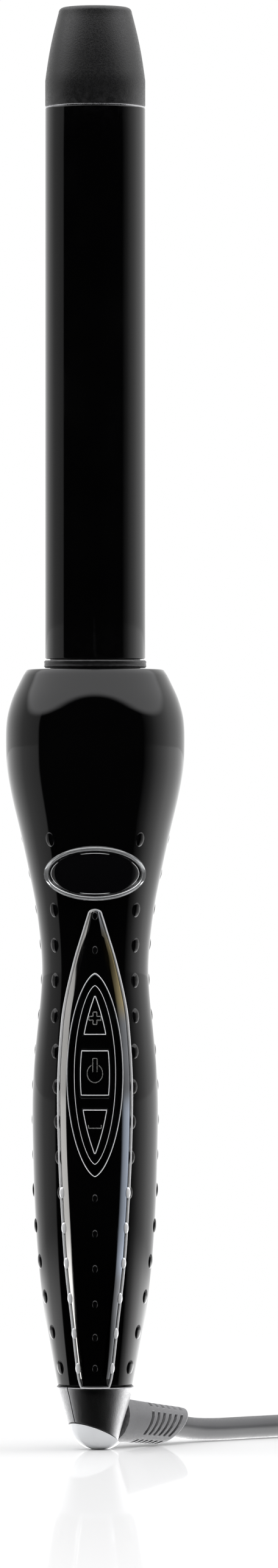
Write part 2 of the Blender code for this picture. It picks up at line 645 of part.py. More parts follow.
# ---------------------------------------------------------------- display
def make_display():
    outer = oval(BEZEL_HALF[0], BEZEL_HALF[1], DISPLAY_Z)
    inner = oval(BEZEL_HALF[0] - BEZEL_BAND, BEZEL_HALF[1] - BEZEL_BAND, DISPLAY_Z)
    skin("display_bezel", [outer, inner], GAP, 1.1 * mm, chrome)
    glass = oval(BEZEL_HALF[0] - BEZEL_BAND - GAP, BEZEL_HALF[1] - BEZEL_BAND - GAP, DISPLAY_Z)
    skin("display_lens", [glass], -LENS_DEPTH, 0.6 * mm, smoked_lens)

    low = DISPLAY_Z - LCD_HALF[1]
    high = DISPLAY_Z + LCD_HALF[1]
    behind_lens = smallest_radius(low, high) - LENS_DEPTH - GAP
    face = math.sqrt(behind_lens ** 2 - LCD_HALF[0] ** 2)
    block("display_lcd", (-LCD_HALF[0], -face, low), (LCD_HALF[0], -face + LCD_THICKNESS, high),
          smoked_lens, 0.3 * mm)
    board_face = face - LCD_THICKNESS - GAP
    low = DISPLAY_Z - DISPLAY_BOARD_HALF_HEIGHT
    high = DISPLAY_Z + DISPLAY_BOARD_HALF_HEIGHT
    half = cavity_half_width(board_face, low, high)
    block("display_board", (-half, -board_face, low), (half, -board_face + BOARD_THICKNESS, high),
          board_green)


# ---------------------------------------------------------------- control panel and keypad
def make_panel():
    recess = whole_oval(KEYPAD_HALF, GAP)
    skin("panel_trim", [panel_outline(0.0), panel_outline(TRIM_WIDTH)], GAP, 0.8 * mm, chrome)
    skin("control_panel", [panel_outline(TRIM_WIDTH + GAP), recess], GAP, PANEL_RISE + GAP,
         gloss_black)
    skin("keypad_bezel", [whole_oval(KEYPAD_HALF), whole_oval(PLATE_HALF, GAP)],
         GAP, PLATE_RISE + GAP, gloss_black)
    holes = [pointed_oval(BUTTON_FIELD, low, high, GAP) for low, high in BUTTONS.values()]
    skin("keypad_plate", [whole_oval(PLATE_HALF)] + holes, GAP, PLATE_RISE, gloss_black)


def membrane_depth():
    """Depth of the membrane's face, from what fits behind the narrowest part of the keypad."""
    low = KEYPAD_Z - KEYPAD_HALF[1]
    high = KEYPAD_Z + KEYPAD_HALF[1]
    inner = smallest_radius(low, high) - HANDLE_WALL - GAP
    return math.sqrt(inner ** 2 - (MEMBRANE_HALF_WIDTH + GAP) ** 2)


def board_depth():
    """Depth of the main board's face in front of the axis."""
    return membrane_depth() - MEMBRANE_THICKNESS - SWITCH_HEIGHT - 2 * GAP


def main_board_low():
    return KEYPAD_Z - KEYPAD_HALF[1] - 8.0 * mm


def main_board_top():
    return KEYPAD_Z + KEYPAD_HALF[1] + 12.0 * mm


def make_buttons():
    depth = membrane_depth()
    stem_end = depth + BUTTON_TRAVEL + GAP
    for key, (low, high) in BUTTONS.items():
        name = key + "_button"
        outline = pointed_oval(BUTTON_FIELD, low, high)
        button = plate(name, [outline], -FAR, -stem_end, "Y", gloss_black)
        crown = [(handle_radius(z) + PLATE_RISE + BUTTON_PROUD, z)
                 for z in reversed(heights(KEYPAD_Z + low - GAP, KEYPAD_Z + high + GAP))]
        solid = [(0.0, crown[0][1])] + crown + [(0.0, crown[-1][1])]
        boolean(button, turned(name + "_crown", solid, sides=SIDES), "INTERSECT")
        lip_face = smallest_radius(KEYPAD_Z + low, KEYPAD_Z + high) - 0.5 * mm
        lip = pointed_oval(BUTTON_FIELD, low + BUTTON_LIP, high - BUTTON_LIP, BUTTON_LIP)
        boolean(button, plate(name + "_lip", [lip], -lip_face, -lip_face + 0.9 * mm, "Y"), "UNION")
        middle = KEYPAD_Z + (low + high) / 2
        set_origin(button, (0.0, -handle_radius(middle), middle))

        switch_face = depth - MEMBRANE_THICKNESS - GAP
        block(key + "_switch",
              (-SWITCH_SIZE / 2, -switch_face, middle - SWITCH_SIZE / 2),
              (SWITCH_SIZE / 2, -switch_face + SWITCH_HEIGHT, middle + SWITCH_SIZE / 2),
              part_black, 0.3 * mm)


def make_boards():
    depth = membrane_depth()
    half_height = PLATE_HALF[1]
    block("keypad_membrane",
          (-MEMBRANE_HALF_WIDTH, -depth, KEYPAD_Z - half_height),
          (MEMBRANE_HALF_WIDTH, -depth + MEMBRANE_THICKNESS, KEYPAD_Z + half_height), silicone)
    face = board_depth()
    low = main_board_low()
    top = main_board_top()
    half = cavity_half_width(face, low, top)
    back = -face + BOARD_THICKNESS
    block("main_board", (-half, -face, low), (half, back, top), board_green)
    seat = back + GAP
    block("power_triac", (-5.0 * mm, seat, low + 38.0 * mm), (5.0 * mm, seat + 4.4 * mm, low + 53.0 * mm),
          part_black, 0.5 * mm)
    block("dropper_capacitor", (-6.0 * mm, seat, low + 22.0 * mm),
          (6.0 * mm, seat + 6.0 * mm, low + 34.0 * mm), film_yellow, 0.6 * mm)
    rod("smoothing_capacitor", 3.0 * mm, low + 6.0 * mm, low + 17.0 * mm, part_black,
        matrix=Matrix.Translation((0.0, seat + 3.0 * mm, 0.0)))
    block("control_chip", (-3.9 * mm, seat, top - 17.0 * mm), (3.9 * mm, seat + 1.7 * mm, top - 7.0 * mm),
          part_black, 0.3 * mm)


# ---------------------------------------------------------------- swivel
def make_contacts():
    """Slip rings on the spindle, and the spring contacts that the handle holds against them."""
    ring_inner = POST_RADIUS + GAP
    ring_outer = POST_RADIUS + 1.4 * mm
    first = LEDGE_TOP + 2.0 * mm
    second = first + 6.0 * mm
    holder_low = second + 6.0 * mm
    holder_top = holder_low + 3.0 * mm
    ring("slip_ring_live", ring_inner, ring_outer, first, first + 3.0 * mm, brass)
    ring("slip_ring_neutral", ring_inner, ring_outer, second, second + 3.0 * mm, brass)
    holder_radius = smallest_radius(holder_low, holder_top) - HANDLE_WALL - GAP
    holder = ring("brush_holder", POST_RADIUS + GAP, holder_radius, holder_low, holder_top,
                  part_black)
    leaf_in = ring_outer + GAP
    leaf_out = leaf_in + 0.6 * mm
    half = 1.6 * mm
    for name, side, low in (("brush_live", -1, first), ("brush_neutral", 1, second)):
        edges = sorted((side * leaf_in, side * leaf_out))
        block(name, (edges[0], -half, low), (edges[1], half, holder_top + 4.0 * mm), brass)
        slot = block(name + "_slot", (edges[0] - GAP, -half - GAP, holder_low - 1.0 * mm),
                     (edges[1] + GAP, half + GAP, holder_top + 1.0 * mm))
        boolean(holder, slot, "DIFFERENCE")
    return holder_low


def make_swivel(holder_low):
    swivel = bpy.data.objects.new("swivel_axis", None)
    bpy.context.scene.collection.objects.link(swivel)
    swivel.rotation_euler.z = SWIVEL_TURN

    ring("swivel_washer", NECK_RADIUS + GAP, GROOVE_RADIUS - GAP, WASHER_LOW,
         WASHER_LOW + WASHER_THICKNESS, steel, 32)
    clamp_top = ROOF_LOW - GAP
    clamp_radius = KNUCKLE_RADIUS - KNUCKLE_WALL - 2.0 * mm
    spindle = turned("swivel_spindle", [
        (0.0, holder_low + 1.0 * mm), (POST_RADIUS, holder_low + 1.0 * mm),
        (POST_RADIUS, FLANGE_TOP), (GROOVE_RADIUS - GAP, FLANGE_TOP),
        (GROOVE_RADIUS - GAP, FLANGE_LOW), (NECK_RADIUS, FLANGE_LOW), (NECK_RADIUS, clamp_top),
        (clamp_radius, clamp_top), (clamp_radius, clamp_top - 1.6 * mm),
        (0.0, clamp_top - 1.6 * mm)], part_black, 32)
    spindle.parent = swivel

    # The knuckle is a hollow cone, cut obliquely below, that splits along the cord's direction
    drop = KNUCKLE_TOP * KNUCKLE_TAPER
    roof_drop = KNUCKLE_ROOF * KNUCKLE_TAPER
    cone = [(KNUCKLE_RADIUS, KNUCKLE_TOP), (KNUCKLE_RADIUS - drop, 0.0),
            (KNUCKLE_RADIUS - drop - KNUCKLE_WALL, 0.0),
            (KNUCKLE_RADIUS - roof_drop - KNUCKLE_WALL, ROOF_LOW),
            (NECK_RADIUS + GAP, ROOF_LOW), (NECK_RADIUS + GAP, KNUCKLE_TOP)]
    below = Matrix.Translation((0, 0, CUT_Z)) @ Matrix.Rotation(CUT_SLOPE, 4, "Y")
    for name, side in (("swivel_cap_front", -1), ("swivel_cap_rear", 1)):
        half = turned(name, cone, matte_charcoal, SIDES, closed=True)
        far_side = block(name + "_split", (-FAR, -GAP / 2, -FAR), (FAR, FAR, FAR))
        if side > 0:
            far_side.data.transform(Matrix.Rotation(math.pi, 4, "Z"))
        under = block(name + "_under", (-FAR, -FAR, -FAR), (FAR, FAR, 0.0))
        under.matrix_world = below
        sideways = Matrix.Translation((0, 0, BOOT_Z)) @ Matrix.Rotation(math.pi / 2, 4, "Y")
        exit_hole = rod(name + "_exit", BOOT_NECK + GAP, 0.0, FAR, matrix=sideways)
        for cutter in (far_side, under, exit_hole):
            boolean(half, cutter, "DIFFERENCE")
            cutter.parent = swivel
        half.parent = swivel

    # The end plate is a shallow dome over that cut, with a small flat to stand on
    dome = bmesh.new()
    radius = (END_PLATE_RADIUS ** 2 + END_PLATE_BULGE ** 2) / (2 * END_PLATE_BULGE)
    bmesh.ops.create_uvsphere(dome, u_segments=28, v_segments=24, radius=radius)
    bmesh.ops.translate(dome, vec=(0, 0, radius - END_PLATE_BULGE), verts=dome.verts)
    cut_flat(dome, (0, 0, -GAP), (0, 0, 1))
    bmesh.ops.scale(dome, vec=(1.08, 1.0, 1.0), verts=dome.verts)
    bmesh.ops.translate(dome, vec=(-0.5 * mm, 0, 0), verts=dome.verts)
    bmesh.ops.transform(dome, matrix=below, verts=dome.verts)
    cut_flat(dome, (0, 0, 0), (0, 0, -1))
    end_plate = link("swivel_end_plate", mesh_from("swivel_end_plate", dome), end_white)
    end_plate.parent = swivel
    return swivel


def cut_flat(bm, place, normal):
    """Remove what lies beyond a plane and close the cut."""
    everything = bm.verts[:] + bm.edges[:] + bm.faces[:]
    cut = bmesh.ops.bisect_plane(bm, geom=everything, plane_co=place, plane_no=normal,
                                 clear_outer=True, dist=0.000001)
    edges = [e for e in cut["geom_cut"] if isinstance(e, bmesh.types.BMEdge)]
    bmesh.ops.contextual_create(bm, geom=edges)


# ---------------------------------------------------------------- cord
def knuckle_radius(z):
    return KNUCKLE_RADIUS - (KNUCKLE_TOP - z) * KNUCKLE_TAPER


def make_boot(swivel):
    """The strain relief: a leaning tapered sleeve whose neck goes into the knuckle."""
    length = BOOT_REACH - BOOT_START
    bm = bmesh.new()
    bmesh.ops.create_cone(bm, cap_ends=True, segments=24, radius1=BOOT_ROOT, radius2=BOOT_END,
                          depth=length)
    bmesh.ops.rotate(bm, matrix=Matrix.Rotation(math.pi / 2, 3, "Y"), verts=bm.verts)
    for vert in bm.verts:
        at_end = vert.co.x > 0
        lean = BOOT_LEAN if at_end else KNUCKLE_TAPER
        rise = vert.co.z / math.hypot(1.0, lean)
        vert.co.x = (BOOT_REACH if at_end else BOOT_START) + lean * rise
        vert.co.z = (BOOT_END_Z if at_end else BOOT_Z) + rise
    boot = link("cord_boot", mesh_from("cord_boot", bm), grey_rubber)
    seat = [(knuckle_radius(FAR) + GAP, FAR), (knuckle_radius(-GAP) + GAP, -GAP), (0.0, -GAP),
            (0.0, FAR)]
    shave = turned("boot_seat", seat, sides=SIDES)
    sideways = Matrix.Translation((0, 0, BOOT_Z)) @ Matrix.Rotation(math.pi / 2, 4, "Y")
    stub = rod("boot_neck", BOOT_NECK, 2.0 * mm, knuckle_radius(BOOT_Z) + 3.0 * mm, matrix=sideways)
    fall = math.atan2(BOOT_Z - BOOT_END_Z, length)
    along = Matrix.Translation((BOOT_REACH, 0, BOOT_END_Z)) @ Matrix.Rotation(math.pi / 2 + fall, 4, "Y")
    bore = rod("boot_bore", CORD_RADIUS + GAP, -BOOT_BORE_DEPTH, FAR, matrix=along)
    boolean(boot, shave, "DIFFERENCE")
    boolean(boot, stub, "UNION")
    boolean(boot, bore, "DIFFERENCE")
    for piece in (boot, shave, stub, bore):
        piece.parent = swivel


def make_cord(swivel):
    back = Matrix.Rotation(-SWIVEL_TURN, 4, "Z")
    cx, cy = COIL_CENTRE
    pieces = [tube("mains_cord", CORD_ROUTE, CORD_RADIUS, cord_grey, 5.0 * CORD_RADIUS)]

    coil = ring("cord_coil", COIL_INNER, COIL_OUTER, 0.0, COIL_HEIGHT, cord_grey, 40)
    coil.matrix_world = Matrix.Translation((cx, cy, 0.0))
    half = TIE_WIDTH / 2
    notch = block("tie_notch", (cx - half - GAP, cy - FAR * 2, -GAP),
                  (cx + half + GAP, cy - COIL_INNER + 3 * GAP, TIE_THICKNESS + GAP))
    boolean(coil, notch, "DIFFERENCE")
    pieces += [coil, notch]

    # The tie is a flat loop round one side of the coil
    near = cy - COIL_OUTER - GAP
    away = cy - COIL_INNER + GAP + 0.5 * mm
    top = COIL_HEIGHT + GAP
    t = TIE_THICKNESS
    outside = [(near - t, 0.0), (away + t, 0.0), (away + t, top + t), (near - t, top + t)]
    inside = [(near, t), (away, t), (away, top), (near, top)]
    tie = plate("cord_tie", [outside, inside], cx - half, cx + half, "Z", silicone)
    tie.matrix_world = ON_YZ @ tie.matrix_world
    pieces.append(tie)

    pieces.append(tube("cord_tail", TAIL_ROUTE, CORD_RADIUS, cord_grey, 4.0 * CORD_RADIUS))
    pieces += make_plug()
    for piece in pieces:
        piece.parent = swivel
        piece.matrix_parent_inverse = back


def make_plug():
    """A two-blade plug lying flat on the coil, its blades towards -Y."""
    x, neck_start, z = TAIL_ROUTE[-1]
    neck_start -= GAP
    body_rear = neck_start - PLUG_NECK_LENGTH
    body_face = body_rear - PLUG_BODY_LENGTH
    half = PLUG_HALF[0]
    outline = [(x - half, body_face), (x + half, body_face), (x + half, body_rear - PLUG_SHOULDER[1]),
               (x + 0.8 * half, body_rear - PLUG_SHOULDER[0]), (x + 0.5 * half, body_rear),
               (x - 0.5 * half, body_rear), (x - 0.8 * half, body_rear - PLUG_SHOULDER[0]),
               (x - half, body_rear - PLUG_SHOULDER[1])]
    body = plate("plug_body", [outline], PLUG_Z - PLUG_HALF[1], PLUG_Z + PLUG_HALF[1], "Z", cord_grey)
    neck = turned("plug_neck", [(0.0, PLUG_NECK_LENGTH), (PLUG_NECK_TIP, PLUG_NECK_LENGTH),
                                (PLUG_NECK_ROOT, -PLUG_NECK_SINK), (0.0, -PLUG_NECK_SINK)])
    neck.matrix_world = Matrix.Translation((x, body_rear, z)) @ Matrix.Rotation(math.radians(-90), 4, "X")
    boolean(body, neck, "UNION")
    made = [body, neck]
    blade_top = body_face - GAP
    for (name, reach), side in zip(BLADE_HALF.items(), (-1, 1)):
        bx = x + side * BLADE_SPACING / 2
        made.append(block(name, (bx - BLADE_THICKNESS / 2, blade_top - BLADE_LENGTH, PLUG_Z - reach),
                          (bx + BLADE_THICKNESS / 2, blade_top, PLUG_Z + reach), brass, 0.3 * mm))
    return made


make_barrel()
make_heater()
make_shells()
make_display()
make_panel()
make_buttons()
make_boards()
swivel_axis = make_swivel(make_contacts())
make_boot(swivel_axis)
make_cord(swivel_axis)

for piece in parts.objects:
    if piece.type == "MESH":
        piece.data.shade_smooth()
        piece.data.set_sharp_from_angle(angle=math.radians(35.0))
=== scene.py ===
import json
from math import asin, ceil, copysign, cos, pi, radians, sin, sqrt, tau as whole

import bmesh
import bpy
from mathutils import Matrix, Vector


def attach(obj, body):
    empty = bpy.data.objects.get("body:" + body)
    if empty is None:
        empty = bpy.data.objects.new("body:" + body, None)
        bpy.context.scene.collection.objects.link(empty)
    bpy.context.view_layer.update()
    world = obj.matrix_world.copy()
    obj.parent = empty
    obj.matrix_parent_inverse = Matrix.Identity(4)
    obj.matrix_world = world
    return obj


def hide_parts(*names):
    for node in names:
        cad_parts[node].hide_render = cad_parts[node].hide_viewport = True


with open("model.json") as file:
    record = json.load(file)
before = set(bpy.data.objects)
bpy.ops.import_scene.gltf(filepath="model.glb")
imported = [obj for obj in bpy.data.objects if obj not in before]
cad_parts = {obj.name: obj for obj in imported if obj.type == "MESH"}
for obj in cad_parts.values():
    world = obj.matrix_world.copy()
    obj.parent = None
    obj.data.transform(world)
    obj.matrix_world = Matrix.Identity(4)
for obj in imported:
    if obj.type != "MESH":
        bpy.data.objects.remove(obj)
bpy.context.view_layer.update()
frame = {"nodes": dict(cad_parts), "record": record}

nodes = frame["nodes"]
mm = 0.001      # a bare length in a dictionary is in millimetres where nothing else is said

view = {
    "distance": 2240 * mm,      # in front of the wand's axis
    "side": 11.1 * mm,          # the wand stands left of the middle of the picture
    "height": 169.0 * mm,
    "tall": 398.4 * mm,         # height of the picture at the wand's axis
    "sensor": 36.0,
}


def stood(name, data):  # a new object in the scene
    piece = bpy.data.objects.new(name, data)
    bpy.context.scene.collection.objects.link(piece)
    return piece


def makeCamera():
    data = bpy.data.cameras.new("studioCamera")
    data.type = "PERSP"
    data.sensor_width = view["sensor"]
    data.lens = view["sensor"] * view["distance"] / view["tall"]
    data.clip_start = 0.05
    data.clip_end = 100.0
    camera = stood("studioCamera", data)
    camera.location = (view["side"], -view["distance"], view["height"])
    camera.rotation_euler = (radians(90), 0, 0)
    bpy.context.scene.camera = camera


makeCamera()
bpy.context.scene.view_settings.view_transform = "Standard"


def smooth(t):
    t = min(max(t, 0.0), 1.0)
    return t * t * (3 - 2 * t)


def between(a, b, t):
    return a + (b - a) * t


def table(rows, at):  # value at a place in a list of (place, value), on straight lines
    if at <= rows[0][0]:
        return rows[0][1]
    for (a, left), (b, right) in zip(rows, rows[1:]):
        if at <= b:
            return between(left, right, (at - a) / (b - a))
    return rows[-1][1]


def smoothPath(points, spacing):  # a smooth curve through all the points
    knots = [Vector(p) for p in points]
    knots = [2 * knots[0] - knots[1]] + knots + [2 * knots[-1] - knots[-2]]
    path = []
    for a, b, c, d in zip(knots, knots[1:], knots[2:], knots[3:]):
        count = max(1, round((c - b).length / spacing))
        for step in range(count):
            t = step / count
            path.append(0.5 * (2 * b + (c - a) * t + (2 * a - 5 * b + 4 * c - d) * t ** 2
                               + (3 * b - a - 3 * c + d) * t ** 3))
    return path + [knots[-2]]


def softened(points, radius, steps=4, closed=False):  # a polyline with its corners rounded
    knots = [Vector(p) for p in points]
    last = len(knots) - 1
    path = []
    for i, knot in enumerate(knots):
        if not closed and i in (0, last):
            path.append(knot)
            continue
        before = knots[i - 1] - knot
        after = knots[(i + 1) % len(knots)] - knot
        reach = min(radius, before.length * 0.45, after.length * 0.45)
        start = knot + before.normalized() * reach
        end = knot + after.normalized() * reach
        for k in range(steps + 1):
            t = k / steps
            path.append(start * (1 - t) ** 2 + knot * 2 * t * (1 - t) + end * t ** 2)
    return path


def linked(name, mesh, finish):  # finish: a material, a slot name, or a list of them
    for each in finish if isinstance(finish, list) else [finish]:
        mesh.materials.append(finishes[each] if isinstance(each, str) else each)
    return stood(name, mesh)


def meshFrom(name, bm, sharp=38.0, merge=1e-7):
    bmesh.ops.remove_doubles(bm, verts=bm.verts, dist=merge)
    bmesh.ops.recalc_face_normals(bm, faces=bm.faces)
    mesh = bpy.data.meshes.new(name)
    bm.to_mesh(mesh)
    bm.free()
    mesh.shade_smooth()
    mesh.set_sharp_from_angle(angle=radians(sharp))
    return mesh


def bridge(bm, rows, faceFinish=None):  # faces between closed rows of points, one row after another
    count = len(rows[0])
    for i, (low, high) in enumerate(zip(rows, rows[1:])):
        for k in range(count):
            m = (k + 1) % count
            face = bm.faces.new((low[k], low[m], high[m], high[k]))
            if faceFinish:
                face.material_index = faceFinish(i, k)


def fromLoops(name, loops, finish, cyclic=False, sharp=38.0, faceFinish=None):  # a piece through closed loops
    bm = bmesh.new()
    rows = [[bm.verts.new(p) for p in loop] for loop in loops]
    bridge(bm, rows + rows[:1] if cyclic else rows, faceFinish)
    if not cyclic:
        bm.faces.new(rows[0][::-1])
        bm.faces.new(rows[-1])
    return linked(name, meshFrom(name, bm, sharp), finish)


def turned(name, profile, finish, steps=128, sharp=38.0, place=None):  # a (radius, height) profile about Z
    loops = []
    for k in range(steps):
        c, s = cos(whole * k / steps), sin(whole * k / steps)
        loops.append([(r * mm * c, r * mm * s, z * mm) for r, z in profile])
    piece = fromLoops(name, loops, finish, cyclic=True, sharp=sharp)
    if place is not None:
        piece.data.transform(place)
    return piece


def softProfile(points, radius, steps=4):
    return [(p.x, p.y) for p in softened([(r, z, 0) for r, z in points], radius, steps, True)]


def settled(piece):  # the piece's mesh with its modifiers applied
    graph = bpy.context.evaluated_depsgraph_get()
    return bpy.data.meshes.new_from_object(piece.evaluated_get(graph))


def cutFrom(piece, cutters):  # cut pieces out of another, and keep the result as a plain mesh
    for cutter in cutters:
        mod = piece.modifiers.new("cut", "BOOLEAN")
        mod.operation = "DIFFERENCE"
        mod.object = cutter
    mesh = settled(piece)
    piece.modifiers.clear()
    piece.data = mesh
    for cutter in cutters:
        bpy.data.objects.remove(cutter, do_unlink=True)
    return piece


def flatPlate(name, outlines, thickness, edge, finish, place):  # flat outlines made thick
    curve = bpy.data.curves.new(name, "CURVE")
    curve.dimensions = "2D"
    curve.fill_mode = "BOTH"
    curve.extrude = thickness / 2 - edge
    curve.bevel_depth = edge
    curve.bevel_resolution = 2
    curve.offset = -edge
    for outline in outlines:
        spline = curve.splines.new("POLY")
        spline.points.add(len(outline) - 1)
        spline.use_cyclic_u = True
        for point, at in zip(spline.points, outline):
            point.co = (at[0], at[1], 0.0, 1.0)
    source = stood(name + "Curve", curve)
    bm = bmesh.new()
    bm.from_mesh(settled(source))
    bpy.data.objects.remove(source, do_unlink=True)
    piece = linked(name, meshFrom(name, bm), finish)
    piece.data.transform(place)
    return piece


def put(piece, body, slot, *replaced):
    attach(piece, body)
    if replaced:
        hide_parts(*replaced)
    return piece


def feed(tree, socket, value):
    if isinstance(value, bpy.types.NodeSocket):
        tree.links.new(value, socket)
    else:
        socket.default_value = value


def addNode(tree, kind, inputs=None, **settings):  # a node, its settings, and values or links for its inputs
    node = tree.nodes.new(kind)
    for label, value in settings.items():
        setattr(node, label, value)
    for key, value in (inputs or {}).items():
        feed(tree, node.inputs[key], value)
    return node


def startGroup(family, name, inputs, outputs):  # a node group with named inputs and outputs
    tree = bpy.data.node_groups.new(name, family + "NodeTree")
    for label, kind, value in inputs:
        socket = tree.interface.new_socket(label, in_out="INPUT", socket_type="NodeSocket" + kind)
        if value is not None:
            socket.default_value = value
    for label, kind in outputs:
        tree.interface.new_socket(label, in_out="OUTPUT", socket_type="NodeSocket" + kind)
    return tree, tree.nodes.new("NodeGroupInput").outputs, tree.nodes.new("NodeGroupOutput").inputs


def mathNode(tree, operation, a, b=0.0):
    return addNode(tree, "ShaderNodeMath", {0: a, 1: b}, operation=operation).outputs[0]


def ranged(tree, value, fromLow, fromHigh, toLow, toHigh, blend="SMOOTHSTEP"):
    limits = {"From Min": fromLow, "From Max": fromHigh, "To Min": toLow, "To Max": toHigh}
    inputs = {"Value": value, **limits}
    return addNode(tree, "ShaderNodeMapRange", inputs, interpolation_type=blend).outputs["Result"]


def noise(tree, where, scale, detail=3.0, roughness=0.5):
    inputs = {"Vector": where, "Scale": scale, "Detail": detail, "Roughness": roughness}
    return addNode(tree, "ShaderNodeTexNoise", inputs).outputs["Fac"]


def makeSurfaceGrain():  # moulded grain: fine pits for the bump, and slow drifts of tone
    tree, start, end = startGroup(
        "Shader", "surfaceGrain",
        [("Position", "Vector", None), ("Grain Scale", "Float", 2500.0), ("Drift Scale", "Float", 30.0)],
        [("Height", "Float"), ("Drift", "Float"), ("Speckle", "Float")])
    fine = noise(tree, start["Position"], start["Grain Scale"], 4.0, 0.6)
    slow = noise(tree, start["Position"], start["Drift Scale"])
    pits = addNode(tree, "ShaderNodeTexVoronoi", {"Vector": start["Position"], "Scale": start["Grain Scale"]})
    height = mathNode(tree, "ADD", mathNode(tree, "MULTIPLY", fine, 0.6),
                      mathNode(tree, "MULTIPLY", pits.outputs["Distance"], 0.5))
    feed(tree, end["Height"], height)
    feed(tree, end["Drift"], ranged(tree, slow, 0.3, 0.7, 0.0, 1.0))
    feed(tree, end["Speckle"], ranged(tree, fine, 0.35, 0.65, 0.0, 1.0))
    return tree


def makeHandling():  # marks of use on a polished face: soft smudges and hair-fine scratches
    tree, start, end = startGroup(
        "Shader", "handlingMarks",
        [("Position", "Vector", None), ("Smudge Scale", "Float", 60.0), ("Scratch Scale", "Float", 900.0)],
        [("Smudge", "Float"), ("Scratch", "Float")])
    smudge = noise(tree, start["Position"], start["Smudge Scale"], 5.0, 0.65)
    stretch = addNode(tree, "ShaderNodeMapping", {
        "Vector": start["Position"], "Rotation": (0.35, 0.2, 0.6), "Scale": (1.0, 1.0, 0.06)})
    hair = noise(tree, stretch.outputs["Vector"], start["Scratch Scale"], 2.0)
    feed(tree, end["Smudge"], ranged(tree, smudge, 0.45, 0.75, 0.0, 1.0))
    feed(tree, end["Scratch"], ranged(tree, hair, 0.68, 0.74, 0.0, 1.0))
    return tree


def makeEdgeWearAndHighlight():  # where an edge stands out, made a little brighter: partly rubbed wear, partly a painted edge highlight
    tree, start, end = startGroup(
        "Shader", "edgeWearAndHighlight", [("Position", "Vector", None), ("Reach", "Float", 0.06)], [("Mask", "Float")])
    shape = addNode(tree, "ShaderNodeNewGeometry")
    top = mathNode(tree, "ADD", 0.5, start["Reach"])
    edge = ranged(tree, shape.outputs["Pointiness"], 0.505, top, 0.0, 1.0)
    broken = ranged(tree, noise(tree, start["Position"], 700.0, 4.0), 0.35, 0.7, 0.1, 1.0)
    feed(tree, end["Mask"], mathNode(tree, "MULTIPLY", edge, broken))
    return tree


grainGroup = makeSurfaceGrain()
handlingGroup = makeHandling()
wearAndHighlightGroup = makeEdgeWearAndHighlight()


def placeGroup(tree, group, where, **values):
    inputs = {label.replace("_", " "): value for label, value in values.items()}
    return addNode(tree, "ShaderNodeGroup", {"Position": where, **inputs}, node_tree=group).outputs


def tint(tree, factor, first, second):
    colours = [(*value, 1.0) if isinstance(value, tuple) else value for value in (first, second)]
    inputs = {"Factor": factor, 6: colours[0], 7: colours[1]}
    return addNode(tree, "ShaderNodeMix", inputs, data_type="RGBA").outputs[2]


def newFinish(name):
    made = bpy.data.materials.new(name)
    made.use_nodes = True
    tree = made.node_tree
    where = addNode(tree, "ShaderNodeTexCoord").outputs["Object"]
    return made, tree, tree.nodes["Principled BSDF"].inputs, where


def roughen(tree, shader, height, strength, depth):
    hill = addNode(tree, "ShaderNodeBump", {"Strength": strength, "Distance": depth * mm, "Height": height})
    feed(tree, shader["Normal"], hill.outputs["Normal"])


def makeFinish(name, dark, light, rough, grain=2500.0, drift=30.0, bump=0.1, depth=0.02,
               metallic=0.0, wearAndHighlight=None, polished=False, **sockets):
    made, tree, shader, where = newFinish(name)
    surface = placeGroup(tree, grainGroup, where, Grain_Scale=grain, Drift_Scale=drift)
    colour, height = tint(tree, surface["Drift"], dark, light), surface["Height"]
    if polished:
        marks = placeGroup(tree, handlingGroup, where)
        gloss = ranged(tree, marks["Smudge"], 0.0, 1.0, *rough)
        gloss = mathNode(tree, "ADD", gloss, mathNode(tree, "MULTIPLY", marks["Scratch"], 0.06))
        height = mathNode(tree, "SUBTRACT", height, marks["Scratch"])
    else:
        gloss = ranged(tree, surface["Speckle"], 0.0, 1.0, *rough)
    # convex edges tinted brighter: rubbed wear and a painted edge highlight
    if wearAndHighlight:
        colour = tint(tree, placeGroup(tree, wearAndHighlightGroup, where)["Mask"], colour, wearAndHighlight)
    feed(tree, shader["Base Color"], colour)
    feed(tree, shader["Roughness"], gloss)
    roughen(tree, shader, height, bump, depth)
    shader["Metallic"].default_value = metallic
    for label, value in sockets.items():
        shader[label.replace("_", " ")].default_value = value
    return made


